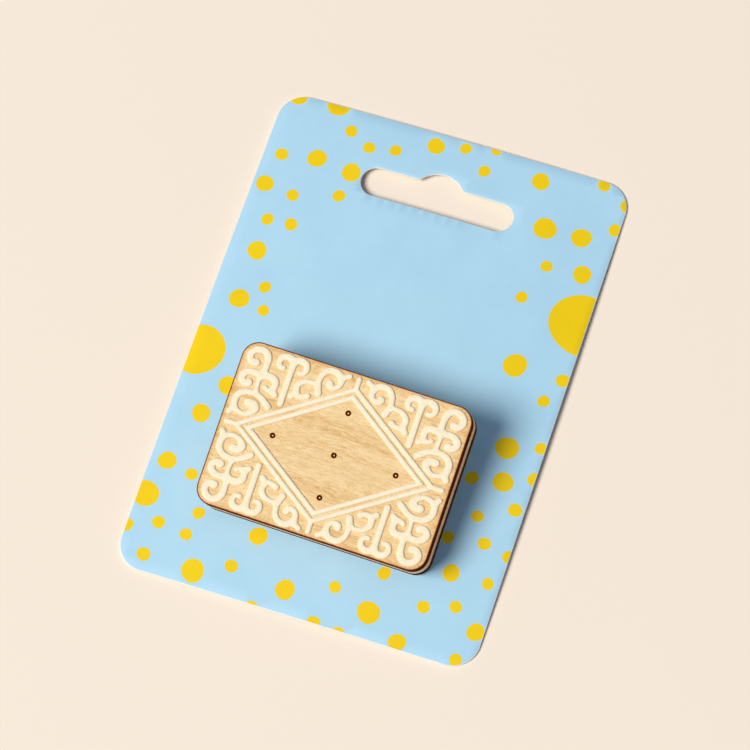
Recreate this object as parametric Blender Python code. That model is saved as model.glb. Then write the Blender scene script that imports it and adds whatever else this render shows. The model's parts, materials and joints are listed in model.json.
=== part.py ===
"""Wooden biscuit badge pinned to its hanging card, as it comes off the shop rack.

Three laser-cut layers, plywood, pale filling and plywood, are glued into a block.
A raised cream print decorates the face, and a brooch bar on the back carries a
needle and a turning safety barrel.  The card is a bowed sheet: the bar's ears and
catch pass through two holes in it, and the needle closes behind it.

Sizes are millimetres here and metres in the meshes.  +Z is up, +Y runs towards the
hanging slot, and the card's four corners stand on Z = 0 around the origin.
"""

from math import asin, atan2, cos, hypot, pi, radians, sin, sqrt

import bpy
import numpy as np
from mathutils import Matrix, Vector
from mathutils.geometry import delaunay_2d_cdt

MM = 0.001

# ---------------------------------------------------------------- backing card
CARD_WIDTH = 74.0
CARD_LENGTH = 105.0
CARD_THICKNESS = 0.45
CARD_CORNER = 5.6
BOW_ALONG = 1.0         # lift of the long edges' middles
BOW_ACROSS = 0.6        # lift of the short edges' middles
BOW_MIDDLE = 0.9        # further lift of the centre, where the pin pushes it up
CARD_GRID = 6.5         # spacing of the facets that follow the bow

HANG_SLOT_LENGTH = 32.0
HANG_SLOT_HEIGHT = 6.2
HANG_SLOT_DROP = 14.1   # from the card's top edge to the slot's centre line
HANG_BUMP_RADIUS = 5.5
HANG_BUMP_EASE = 1.2    # rounding where the bump meets the slot

PIN_HOLE_CORNER = 1.2
PIN_HOLE_MARGIN = 0.8   # free space round what passes through the card

# --------------------------------------------------------------- badge block
BADGE_WIDTH = 47.3
BADGE_HEIGHT = 33.3
BADGE_CORNER = 3.4
BACK_PLY = 3.0
FILLING = 3.0
FRONT_PLY = 3.0
GLUE_LINE = 0.05
FRONT_EASE = 0.15       # softened front edge
EASED_FROM = 80         # degrees: only edges at least this sharp are softened

BADGE_TILT = 11.2       # degrees: the bar props the upper half away from the card
BADGE_TURN = -1.3       # degrees: pinned a little askew
BADGE_SHIFT = -0.42     # sideways place of the lower back edge on the card
BADGE_EDGE_FROM_BOTTOM = 15.25  # card's bottom edge to the badge's lower back edge
REST_GAP = 0.3          # lower back edge to the card

DOCKER_RADIUS = 0.53
DOCKER_EYE_RADIUS = 0.2
DOCKER_DEPTH = 0.35

# -------------------------------------------------------------- raised print
PRINT_HEIGHT = 0.35
PRINT_FILM = 0.03       # clear primer between the print and the wood
STROKE_WEIGHT = 1.0     # multiplies the drawn width of every stroke
DIAMOND_LINE = 1.05
DIAMOND_GAP = 0.3
SPUR_WIDTH = 1.05

# The ornament is drawn on a quarter of a face with this half width and half
# height, then fitted to the badge's own size.  A stroke lists (x, y, width).
DRAWN_HALF_WIDTH = 24.6
DRAWN_HALF_HEIGHT = 17.45
DIAMOND_TIPS = (19.65, 13.25)   # half diagonals, on the gap between the two lines
SPUR_ENDS = (23.1, 16.3)        # centres of the spurs' round ends
DOCKER_PLACES = ((0, 0), (13.2, 0), (-13.2, 0), (0, 9.05), (0, -9.05))

SPIRE_SCROLL = (                # beside the upright spur: a large and a small curl
    ((7.18, 11.1, 1.52), (7.52, 12.05, 1.38), (7.75, 13.0, 1.25), (7.68, 14.0, 1.22),
     (7.42, 15.05, 1.27), (6.55, 16.05, 1.37), (5.45, 16.32, 1.45), (4.3, 16.05, 1.5),
     (3.45, 15.2, 1.45), (3.4, 14.1, 1.27), (3.75, 13.4, 1.17), (4.5, 12.98, 1.22),
     (5.2, 13.15, 1.5), (5.5, 13.6, 1.65)),
    ((3.5, 15.3, 1.4), (2.8, 15.85, 1.2), (2.05, 16.27, 1.22)),
    ((7.7, 12.5, 1.2), (8.5, 12.75, 1.07), (9.4, 12.75, 1.02), (10.4, 12.5, 1.17),
     (11.3, 11.8, 1.32), (11.65, 11.0, 1.42), (11.55, 10.1, 1.35), (11.7, 9.4, 1.25),
     (12.2, 8.82, 1.35)),
    ((11.5, 9.7, 1.3), (10.9, 9.38, 1.2), (10.3, 9.33, 1.15), (9.6, 9.5, 1.2),
     (9.05, 9.78, 1.4)),
)
STEM_CURLS = (                  # a straight stem that parts into two curls
    ((13.8, 6.7, 1.37), (13.8, 10.0, 1.35), (13.8, 13.0, 1.35), (13.8, 14.6, 1.45),
     (13.8, 15.6, 1.5)),
    ((13.8, 15.6, 1.45), (13.1, 16.1, 1.5), (12.3, 16.22, 1.5), (11.35, 15.88, 1.5),
     (10.9, 15.05, 1.32), (11.05, 14.2, 1.22), (11.55, 13.8, 1.17), (12.1, 13.78, 1.12)),
    ((13.8, 15.6, 1.45), (14.5, 16.1, 1.5), (15.3, 16.22, 1.5), (16.25, 15.88, 1.5),
     (16.7, 15.05, 1.32), (16.55, 14.2, 1.22), (16.05, 13.8, 1.17), (15.5, 13.8, 1.12)),
)
CORNER_SCROLL = (               # three linked rows of curls that fill the corner
    ((18.95, 11.3, 1.4), (18.95, 12.5, 1.32), (18.97, 13.6, 1.42), (19.1, 14.6, 1.6),
     (19.65, 15.55, 1.6), (20.7, 16.0, 1.5), (21.85, 15.75, 1.5), (22.65, 14.95, 1.55),
     (22.8, 14.0, 1.55), (22.3, 13.25, 1.5), (21.7, 13.05, 1.6), (21.2, 13.15, 1.7)),
    ((19.0, 11.1, 1.6), (18.1, 11.2, 1.6), (17.1, 11.2, 1.6), (16.3, 10.75, 1.6),
     (16.0, 10.0, 1.5), (16.05, 9.2, 1.4), (15.95, 8.5, 1.3), (15.4, 7.93, 1.27)),
    ((15.95, 8.4, 1.2), (16.6, 8.4, 1.2), (17.3, 8.5, 1.1), (17.85, 8.83, 1.12)),
    ((19.2, 11.1, 1.6), (20.4, 11.1, 1.45), (21.5, 11.1, 1.45), (22.5, 10.65, 1.55),
     (23.05, 9.8, 1.6), (22.85, 9.0, 1.45), (22.15, 8.6, 1.5), (21.4, 8.77, 1.8)),
    ((19.35, 10.8, 1.3), (19.45, 10.0, 1.07), (19.43, 9.0, 0.92), (19.35, 8.1, 0.97),
     (19.2, 7.3, 1.1)),
    ((16.0, 5.2, 1.42), (16.95, 5.9, 1.42), (18.0, 6.62, 1.33), (19.3, 6.98, 1.27),
     (20.3, 7.02, 1.32), (21.2, 6.88, 1.37), (22.1, 6.4, 1.45), (22.75, 5.5, 1.5),
     (22.88, 4.5, 1.5), (22.8, 3.5, 1.4), (22.9, 2.7, 1.3), (23.25, 2.13, 1.32)),
    ((22.6, 3.3, 1.3), (21.9, 2.75, 1.25), (21.2, 2.5, 1.12), (20.4, 2.42, 1.07),
     (19.6, 2.65, 1.17), (18.85, 3.2, 1.42), (18.35, 4.0, 1.7), (18.65, 4.7, 1.75),
     (19.35, 4.93, 1.7), (20.1, 4.88, 1.75)),
)

# ---------------------------------------------------------------- brooch bar
BAR_LENGTH = 30.0
BAR_WIDTH = 4.8
BAR_THICKNESS = 0.8
BAR_CORNER = 2.1
BAR_HEIGHT_ON_BADGE = 8.0   # above the badge's middle
BAR_HOLE_RADIUS = 0.9
BAR_HOLE_SPACING = 13.0
PIN_DROP = 5.6              # badge's back to the needle's centre line

HINGE_FROM_END = 2.5        # bar's end to the hinge axis
EAR_THICKNESS = 0.6
EAR_RADIUS = 1.25
EAR_FOOT = 3.4              # length of an ear where it leaves the bar
RIVET_RADIUS = 0.4
RIVET_HEAD_RADIUS = 0.75
RIVET_HEAD_HEIGHT = 0.35
RIVET_DOME = (0, 35, 65)    # degrees up the head at which it has a ring of corners
RUNNING_CLEARANCE = 0.08    # round the rivet, in the needle's eye
SEAT_CLEARANCE = 0.05       # round the rivet, in the ears

NEEDLE_RADIUS = 0.4
NEEDLE_POINT_LENGTH = 4.0
NEEDLE_POINT_RADIUS = 0.06
NEEDLE_PAST_CATCH = 1.5     # tip beyond the catch ring's middle
EYE_RADIUS = 0.95
EYE_THICKNESS = 0.8
EYE_SIDE_CLEARANCE = 0.15

CATCH_FROM_END = 3.0        # bar's other end to the catch ring's middle
CATCH_THICKNESS = 0.8
CATCH_WALL = 0.38
BARREL_NECK_RADIUS = 0.92
BARREL_CLEARANCE = 0.1
BARREL_COLLAR_RADIUS = 1.4
BARREL_INNER_COLLAR = 0.8   # length of the collar on the needle's side
BARREL_OUTER_COLLAR = 1.8   # length of the collar with the thumb tab
NEEDLE_SLOT_CLEARANCE = 0.13
TAB_REACH = 2.9             # barrel's axis to the tab's end
TAB_THICKNESS = 0.55
TAB_CORNER = 0.5
TAB_INSET = 0.15            # the tab's edges inside the collar's ends
BARREL_CHAMFER = 0.2
CUT_MARGIN = 1.0            # how far a cutting shape reaches past what it cuts

# ------------------------------------------------------------------ finishes
FINISHES = {                    # base colour, roughness, metallic
    "card": ((0.46, 0.72, 0.87), 0.55, 0.0),
    "plywood": ((0.76, 0.53, 0.27), 0.6, 0.0),
    "filling": ((0.86, 0.70, 0.50), 0.6, 0.0),
    "print": ((0.95, 0.87, 0.70), 0.45, 0.0),
    "steel": ((0.72, 0.72, 0.70), 0.3, 1.0),
}

# Axes of a flat shape drawn in its own plane: where its across, up and
# thickness directions point in the badge's frame.
FACE_ON = Matrix.Identity(3)
SIDE_ON = Matrix(((1, 0, 0), (0, 0, -1), (0, 1, 0)))    # drawn in X and Z
END_ON = Matrix(((0, 0, 1), (1, 0, 0), (0, 1, 0)))      # drawn in Y and Z

UNION_TOLERANCE = 0.002     # corners closer than this become one
FOLD_TOLERANCE = 0.03       # how far a stroke's side may lie inside its own ink
ARC_STEP = radians(15)
SLOT_STEP = radians(18)
HOLE_STEP = radians(30)
CAP_STEP = radians(36)
SMOOTH_BELOW = radians(35)  # edges flatter than this are shaded smooth
DOCKER_SIDES = 16
SLIM_SIDES = 12             # facets round the rivet and the needle
BARREL_SIDES = 20


# ------------------------------------------------------------ plane geometry
def arc(centre, radius, start, end, step=ARC_STEP):
    """Points from the start angle to the end angle, both included."""
    count = max(2, round(abs(end - start) / step) + 1)
    return [(centre[0] + radius * cos(a), centre[1] + radius * sin(a))
            for a in np.linspace(start, end, count)]


def rounded_box(width, height, corner, centre=(0, 0)):
    """Anticlockwise outline of a rectangle with round corners."""
    outline = []
    for turn, (side_x, side_y) in enumerate(((1, 1), (-1, 1), (-1, -1), (1, -1))):
        middle = (centre[0] + side_x * (width / 2 - corner),
                  centre[1] + side_y * (height / 2 - corner))
        outline += arc(middle, corner, turn * pi / 2, (turn + 1) * pi / 2)
    return outline


def smooth_path(points, per_span=2):
    """Catmull-Rom curve through the points, with per_span pieces between two of them."""
    points = [np.array(p, float) for p in points]
    ends = [2 * points[0] - points[1]] + points + [2 * points[-1] - points[-2]]
    path = []
    for a, b, c, d in zip(ends, ends[1:], ends[2:], ends[3:]):
        for t in np.arange(per_span) / per_span:
            path.append(0.5 * (2 * b + (c - a) * t + (2 * a - 5 * b + 4 * c - d) * t * t
                               + (3 * b - a - 3 * c + d) * t ** 3))
    return np.array(path + [points[-1]])


def stroke(points):
    """Anticlockwise outline of a pen stroke through points of (x, y, width)."""
    path = smooth_path(points)
    centres, half = path[:, :2], path[:, 2] / 2
    along = np.gradient(centres, axis=0)
    along /= np.linalg.norm(along, axis=1)[:, None]
    left = np.stack([-along[:, 1], along[:, 0]], axis=1) * half[:, None]

    def clear(side):
        """Drop the points that a tight bend folds into the stroke."""
        reach = np.linalg.norm(side[:, None] - centres[None], axis=2) - half[None]
        return [tuple(p) for p, r in zip(side, reach.min(axis=1)) if r > -FOLD_TOLERANCE]

    def cap(end, direction):
        """The inner points of the half circle that closes an end."""
        middle = atan2(direction[1], direction[0])
        return arc(centres[end], half[end], middle - pi / 2, middle + pi / 2, CAP_STEP)[1:-1]

    return (clear(centres - left) + cap(-1, along[-1])
            + clear(centres + left)[::-1] + cap(0, -along[0]))


def flat_region(solids, holes=(), inner=()):
    """Triangles of the union of the solid outlines less the holes.

    The inner points are taken in as corners, so that a sheet can be bent.
    """
    outlines = list(solids) + list(holes)
    points = [Vector(p) for outline in outlines for p in outline]
    points += [Vector(p) for p in inner]
    loops, start = [], 0
    for outline in outlines:
        loops.append(list(range(start, start + len(outline))))
        start += len(outline)
    corners, _, faces, _, _, sources = delaunay_2d_cdt(
        points, [], loops, 0, UNION_TOLERANCE, True)
    kept = [face for face, source in zip(faces, sources)
            if source and max(source) < len(solids)]
    used = sorted({corner for face in kept for corner in face})
    place = {corner: i for i, corner in enumerate(used)}
    return [tuple(corners[c]) for c in used], [[place[c] for c in face] for face in kept]


def slab(region, low, high, axes=FACE_ON):
    """Closed solid between two heights over a region; a height may be a function of x, y."""
    corners, faces = region
    count = len(corners)

    def layer(height):
        """The region's corners at a height, turned to their plane."""
        return [axes @ Vector((x, y, height(x, y) if callable(height) else height))
                for x, y in corners]

    edges = [(face[i - 1], face[i]) for face in faces for i in range(len(face))]
    rim = set(edges) - {(b, a) for a, b in edges}
    solid = [[c + count for c in face] for face in faces]
    solid += [face[::-1] for face in faces]
    solid += [[a, b, b + count, a + count] for a, b in sorted(rim)]
    return layer(low) + layer(high), solid


def turned(profile, axes, sides):
    """Solid of revolution about the drawn plane's across direction.

    The profile lists (along, radius) from one end to the other; both ends are closed.
    """
    corners, faces = [], []
    for along, radius in profile:
        for k in range(sides):
            angle = 2 * pi * k / sides
            corners.append(axes @ Vector((along, radius * cos(angle), radius * sin(angle))))
    for ring in range(len(profile) - 1):
        for k in range(sides):
            a, b = ring * sides + k, ring * sides + (k + 1) % sides
            faces.append([a, b, b + sides, a + sides])
    faces.append(list(range(sides - 1, -1, -1)))
    faces.append(list(range(len(corners) - sides, len(corners))))
    return corners, faces


def merged(shapes):
    """Several shapes as one list of corners and faces."""
    corners, faces = [], []
    for shape_corners, shape_faces in shapes:
        faces += [[c + len(corners) for c in face] for face in shape_faces]
        corners += shape_corners
    return corners, faces


# ------------------------------------------------------------ Blender objects
def finish_material(name, finish):
    """A Principled material for one piece."""
    colour, roughness, metallic = FINISHES[finish]
    material = bpy.data.materials.new(name)
    material.use_nodes = True
    shader = material.node_tree.nodes["Principled BSDF"]
    shader.inputs["Base Color"].default_value = (*colour, 1)
    shader.inputs["Roughness"].default_value = roughness
    shader.inputs["Metallic"].default_value = metallic
    return material


def add_object(name, shape, frame, pivot):
    """Mesh object of a shape, with its origin on the pivot in its frame."""
    corners, faces = shape
    origin = Vector(pivot)
    mesh = bpy.data.meshes.new(name)
    mesh.from_pydata([(Vector(c) - origin) * MM for c in corners], [], faces)
    mesh.shade_smooth()
    mesh.set_sharp_from_angle(angle=SMOOTH_BELOW)
    thing = bpy.data.objects.new(name, mesh)
    bpy.context.scene.collection.objects.link(thing)
    thing.parent = frame
    thing.location = origin * MM
    return thing


def piece(name, shape, finish, frame=None, pivot=(0, 0, 0)):
    """One named part of the real object."""
    thing = add_object(name, shape, frame, pivot)
    thing.data.materials.append(finish_material(name, finish))
    return thing


def combine(thing, shape, operation):
    """Join a shape to a piece, or cut it away, with a hidden helper and a Boolean."""
    helper = add_object(f"{thing.name}_{operation.lower()}_{len(thing.modifiers)}", shape,
                        thing.parent, thing.location / MM)
    helper.hide_render = True
    helper.display_type = "WIRE"
    modifier = thing.modifiers.new(helper.name, "BOOLEAN")
    modifier.operation = operation
    modifier.solver = "EXACT"
    modifier.object = helper


# --------------------------------------------------------------------- card
def card_lift(x, y):
    """Height of the card's underside: three shallow parabolas added up."""
    across = 1 - (2 * x / CARD_WIDTH) ** 2
    along = 1 - (2 * y / CARD_LENGTH) ** 2
    return BOW_ALONG * along + BOW_ACROSS * across + BOW_MIDDLE * across * along


def card_top(x, y):
    """Height of the card's printed side."""
    return card_lift(x, y) + CARD_THICKNESS


def badge_matrix():
    """Frame of the badge: origin in the middle of its back face, +Z out of its front."""
    turn = Matrix.Rotation(radians(BADGE_TURN), 4, "Z")
    tilt = Matrix.Rotation(radians(BADGE_TILT), 4, "X")
    edge_y = BADGE_EDGE_FROM_BOTTOM - CARD_LENGTH / 2
    edge = Vector((BADGE_SHIFT, edge_y, card_top(BADGE_SHIFT, edge_y) + REST_GAP))
    lower_edge = Vector((0, -BADGE_HEIGHT / 2, 0))
    return Matrix.Translation(edge) @ turn @ tilt @ Matrix.Translation(-lower_edge)


def hang_slot_outline():
    """Round-ended slot with a round bump on top, as punched for a display hook."""
    half_height = HANG_SLOT_HEIGHT / 2
    end = HANG_SLOT_LENGTH / 2 - half_height
    ease_y = half_height + HANG_BUMP_EASE
    reach = HANG_BUMP_RADIUS + HANG_BUMP_EASE
    ease_x = sqrt(reach ** 2 - ease_y ** 2)
    bump = asin(ease_y / reach)
    outline = arc((-end, 0), half_height, pi / 2, 3 * pi / 2, SLOT_STEP)
    outline += arc((end, 0), half_height, -pi / 2, pi / 2, SLOT_STEP)
    outline += arc((ease_x, ease_y), HANG_BUMP_EASE, -pi / 2, -pi + bump, SLOT_STEP)
    outline += arc((0, 0), HANG_BUMP_RADIUS, bump, pi - bump, SLOT_STEP)[1:-1]
    outline += arc((-ease_x, ease_y), HANG_BUMP_EASE, -bump, -pi / 2, SLOT_STEP)
    centre_y = CARD_LENGTH / 2 - HANG_SLOT_DROP
    return [(x, y + centre_y) for x, y in outline]


def pin_hole(frame, along, length, width):
    """Hole in the card round a metal part that stands at x = along on the bar."""
    axis = frame @ Vector((along, BAR_HEIGHT_ON_BADGE, -PIN_DROP))
    up = frame.to_3x3() @ Vector((0, 0, 1))
    height = card_lift(axis.x, axis.y) + CARD_THICKNESS / 2 - axis.z
    through = axis + up * (height / up.z)
    return rounded_box(length + 2 * PIN_HOLE_MARGIN, width + 2 * PIN_HOLE_MARGIN,
                       PIN_HOLE_CORNER, (through.x, through.y))


def make_card(frame):
    """The bowed card with its hanging slot and the two holes for the pin."""
    def spread(length):
        """Evenly spaced places across a length, edges left out."""
        count = round(length / CARD_GRID)
        return [(i / count - 0.5) * length for i in range(1, count)]

    across, along = spread(CARD_WIDTH), spread(CARD_LENGTH)
    half_width, half_length = CARD_WIDTH / 2, CARD_LENGTH / 2
    outline = []
    for turn, (side_x, side_y) in enumerate(((1, 1), (-1, 1), (-1, -1), (1, -1))):
        corner = (side_x * (half_width - CARD_CORNER), side_y * (half_length - CARD_CORNER))
        outline += arc(corner, CARD_CORNER, turn * pi / 2, (turn + 1) * pi / 2)
        if turn % 2:
            outline += [(side_x * half_width, side_x * y) for y in along
                        if abs(y) < half_length - CARD_CORNER]
        else:
            outline += [(-side_y * x, side_y * half_length) for x in across
                        if abs(x) < half_width - CARD_CORNER]
    ears = 2 * (EAR_THICKNESS + EYE_SIDE_CLEARANCE + RIVET_HEAD_HEIGHT) + EYE_THICKNESS
    barrel = barrel_ends()
    holes = [hang_slot_outline(),
             pin_hole(frame, hinge_place(), 2 * EAR_RADIUS, ears),
             pin_hole(frame, (barrel[0] + barrel[1]) / 2, barrel[1] - barrel[0],
                      2 * BARREL_COLLAR_RADIUS)]
    inner = [(x, y) for x in across for y in along]
    region = flat_region([outline], holes, inner)
    return piece("backing_card", slab(region, card_lift, card_top), "card")


# -------------------------------------------------------------------- badge
def layer_heights():
    """Underside and top of each wooden layer, from the badge's back face outwards."""
    heights, floor = [], 0.0
    for thickness in (BACK_PLY, FILLING, FRONT_PLY):
        heights.append((floor, floor + thickness))
        floor += thickness + GLUE_LINE
    return heights


def face_height():
    """Front face of the badge, above its back face."""
    return layer_heights()[-1][1]


def drawn_scale():
    """Real size of a drawn unit of the ornament, across and up."""
    return BADGE_WIDTH / 2 / DRAWN_HALF_WIDTH, BADGE_HEIGHT / 2 / DRAWN_HALF_HEIGHT


def on_face(point):
    """A drawn point of the ornament, fitted to the badge's own width and height."""
    across, up = drawn_scale()
    return point[0] * across, point[1] * up


def make_layers(frame):
    """Back plywood, pale filling and front plywood with its docker marks."""
    region = flat_region([rounded_box(BADGE_WIDTH, BADGE_HEIGHT, BADGE_CORNER)])
    back, filling, front = layer_heights()
    piece("back_biscuit_layer", slab(region, *back), "plywood", frame)
    piece("cream_filling_layer", slab(region, *filling), "filling", frame)
    face = piece("front_biscuit_layer", slab(region, *front), "plywood", frame)
    combine(face, docker_grooves(), "DIFFERENCE")
    ease = face.modifiers.new("softened_edge", "BEVEL")
    ease.width = FRONT_EASE * MM
    ease.segments = 1
    ease.limit_method = "ANGLE"
    ease.angle_limit = radians(EASED_FROM)


def docker_grooves():
    """V-shaped rings burnt into the face, one at each docker mark."""
    face = face_height()
    middle = (DOCKER_RADIUS + DOCKER_EYE_RADIUS) / 2
    half = (DOCKER_RADIUS - DOCKER_EYE_RADIUS) / 2
    turns = [2 * pi * k / DOCKER_SIDES for k in range(DOCKER_SIDES)]
    rings = []
    for place in DOCKER_PLACES:
        x, y = on_face(place)
        section = ((middle - 2 * half, face + DOCKER_DEPTH), (middle, face - DOCKER_DEPTH),
                   (middle + 2 * half, face + DOCKER_DEPTH))
        corners = [(x + r * cos(turn), y + r * sin(turn), z) for turn in turns for r, z in section]
        faces = []
        for k in range(DOCKER_SIDES):
            here, there = 3 * k, 3 * ((k + 1) % DOCKER_SIDES)
            for i in range(3):
                j = (i + 1) % 3
                faces.append([here + i, there + i, there + j, here + j])
        rings.append((corners, faces))
    return merged(rings)


# ------------------------------------------------------------- raised print
def printed(outlines, holes=()):
    """Raised print over the union of some outlines."""
    base = face_height() + PRINT_FILM
    return slab(flat_region(outlines, holes), base, base + PRINT_HEIGHT)


def diamond(offset):
    """Diamond outline at a distance outside, or inside if negative, the gap's middle."""
    half_width, half_height = on_face(DIAMOND_TIPS)
    inradius = half_width * half_height / hypot(half_width, half_height)
    grow = 1 + offset / inradius
    return [(half_width * grow, 0), (0, half_height * grow),
            (-half_width * grow, 0), (0, -half_height * grow)]


def make_diamonds(frame):
    """The two lines of the diamond; four spurs run from the outer one to the edges."""
    near, far = DIAMOND_GAP / 2, DIAMOND_GAP / 2 + DIAMOND_LINE
    tips = diamond(near + DIAMOND_LINE / 2)
    ends = [(on_face(SPUR_ENDS)[0], 0), (0, on_face(SPUR_ENDS)[1])]
    ends += [(-x, -y) for x, y in ends]
    spurs = [stroke(((*tip, SPUR_WIDTH), (*end, SPUR_WIDTH))) for tip, end in zip(tips, ends)]
    outer = printed([diamond(far)] + spurs, [diamond(near)])
    piece("diamond_outer_line", outer, "print", frame)
    piece("diamond_inner_line", printed([diamond(-near)], [diamond(-far)]), "print", frame)


def make_scrolls(frame):
    """Three scroll pieces in each quarter of the face, mirrored both ways."""
    motifs = {"spire_scroll": SPIRE_SCROLL, "stem_curls": STEM_CURLS,
              "corner_scroll": CORNER_SCROLL}
    quarters = {"upper_right": (1, 1), "upper_left": (-1, 1),
                "lower_left": (-1, -1), "lower_right": (1, -1)}
    weight = STROKE_WEIGHT * sum(drawn_scale()) / 2
    for motif, strokes in motifs.items():
        for quarter, (side_x, side_y) in quarters.items():
            outlines = []
            for points in strokes:
                outlines.append(stroke([(*on_face((side_x * x, side_y * y)), width * weight)
                                        for x, y, width in points]))
            piece(f"{motif}_{quarter}", printed(outlines), "print", frame)


# --------------------------------------------------------------- brooch bar
def hinge_place():
    """The hinge axis along the bar, from the badge's middle."""
    return BAR_LENGTH / 2 - HINGE_FROM_END


def catch_place():
    """The middle of the catch ring along the bar."""
    return CATCH_FROM_END - BAR_LENGTH / 2


def ring_bore():
    """Radius of the catch ring's bore, in which the barrel's neck turns."""
    return BARREL_NECK_RADIUS + BARREL_CLEARANCE


def neck_half_length():
    """Half the length of the barrel's neck: the ring and a clearance at each side."""
    return CATCH_THICKNESS / 2 + BARREL_CLEARANCE


def barrel_ends():
    """Where the barrel starts and ends along the bar."""
    return (catch_place() - neck_half_length() - BARREL_OUTER_COLLAR,
            catch_place() + neck_half_length() + BARREL_INNER_COLLAR)


def shifted(shape, offset):
    """A shape moved by an offset."""
    corners, faces = shape
    return [Vector(c) + Vector(offset) for c in corners], faces


def ear(side, bar_under):
    """One of the two ears that carry the hinge rivet; side is -1 or 1."""
    inner = EYE_THICKNESS / 2 + EYE_SIDE_CLEARANCE
    foot = bar_under + BAR_THICKNESS / 2
    outline = [(EAR_FOOT / 2, foot), (-EAR_FOOT / 2, foot), (-EAR_FOOT / 2, bar_under)]
    outline += arc((0, -PIN_DROP), EAR_RADIUS, pi, 2 * pi)
    outline += [(EAR_FOOT / 2, bar_under)]
    hole = arc((0, -PIN_DROP), RIVET_RADIUS + SEAT_CLEARANCE, 0, 2 * pi, HOLE_STEP)[:-1]
    faces = sorted((-side * inner, -side * (inner + EAR_THICKNESS)))
    shape = slab(flat_region([outline], [hole]), *faces, axes=SIDE_ON)
    return shifted(shape, (hinge_place(), BAR_HEIGHT_ON_BADGE, 0))


def catch_ring(bar_under):
    """Strap and open ring that hold the barrel; the ring's mouth faces away from the badge."""
    outer = ring_bore() + CATCH_WALL
    mouth = NEEDLE_RADIUS + NEEDLE_SLOT_CLEARANCE
    foot = bar_under + BAR_THICKNESS / 2
    centre = (0, -PIN_DROP)
    wide, narrow = asin(mouth / ring_bore()), asin(mouth / outer)
    down = 3 * pi / 2
    outline = [(outer, foot), (-outer, foot)]
    outline += arc(centre, outer, pi, down - narrow)
    outline += arc(centre, ring_bore(), down - wide, wide - pi / 2)
    outline += arc(centre, outer, down + narrow, 2 * pi)
    half = CATCH_THICKNESS / 2
    shape = slab(flat_region([outline]), -half, half, axes=END_ON)
    return shifted(shape, (catch_place(), BAR_HEIGHT_ON_BADGE, 0))


def make_bar(frame):
    """The pressed bar glued to the badge, with its ears and catch ring bent up."""
    outline = rounded_box(BAR_LENGTH, BAR_WIDTH, BAR_CORNER)
    holes = []
    for side in (-1, 1):
        centre = (side * BAR_HOLE_SPACING / 2, 0)
        holes.append(arc(centre, BAR_HOLE_RADIUS, 0, 2 * pi, HOLE_STEP)[:-1])
    under = -GLUE_LINE - BAR_THICKNESS
    strip = slab(flat_region([outline], holes), under, -GLUE_LINE)
    bar = piece("brooch_bar", shifted(strip, (0, BAR_HEIGHT_ON_BADGE, 0)), "steel", frame)
    for side in (-1, 1):
        combine(bar, ear(side, under), "UNION")
    combine(bar, catch_ring(under), "UNION")


def make_rivet(frame):
    """The headed rivet through both ears, on the hinge axis."""
    across = Matrix(((0, 1, 0), (1, 0, 0), (0, 0, -1)))
    face = EYE_THICKNESS / 2 + EYE_SIDE_CLEARANCE + EAR_THICKNESS + SEAT_CLEARANCE
    dome = [(face + RIVET_HEAD_HEIGHT * sin(radians(a)), RIVET_HEAD_RADIUS * cos(radians(a)))
            for a in RIVET_DOME]
    head = [(face, RIVET_RADIUS)] + dome
    profile = [(-along, radius) for along, radius in reversed(head)] + head
    centre = (hinge_place(), BAR_HEIGHT_ON_BADGE, -PIN_DROP)
    shape = shifted(turned(profile, across, SLIM_SIDES), centre)
    piece("hinge_rivet", shape, "steel", frame, centre)


def make_needle(frame):
    """The needle: an eye round the rivet and a wire that ends in a point."""
    pivot = (hinge_place(), BAR_HEIGHT_ON_BADGE, -PIN_DROP)
    bore = RIVET_RADIUS + RUNNING_CLEARANCE
    eye = flat_region([arc((0, 0), EYE_RADIUS, 0, 2 * pi)[:-1]],
                      [arc((0, 0), bore, 0, 2 * pi, HOLE_STEP)[:-1]])
    half = EYE_THICKNESS / 2
    shape = shifted(slab(eye, -half, half, axes=SIDE_ON), pivot)
    needle = piece("needle", shape, "steel", frame, pivot)
    tip = catch_place() - NEEDLE_PAST_CATCH - hinge_place()
    root = -(bore + EYE_RADIUS) / 2
    wire = [(tip, NEEDLE_POINT_RADIUS), (tip + NEEDLE_POINT_LENGTH, NEEDLE_RADIUS),
            (root, NEEDLE_RADIUS)]
    combine(needle, shifted(turned(wire, FACE_ON, SLIM_SIDES), pivot), "UNION")


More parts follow.
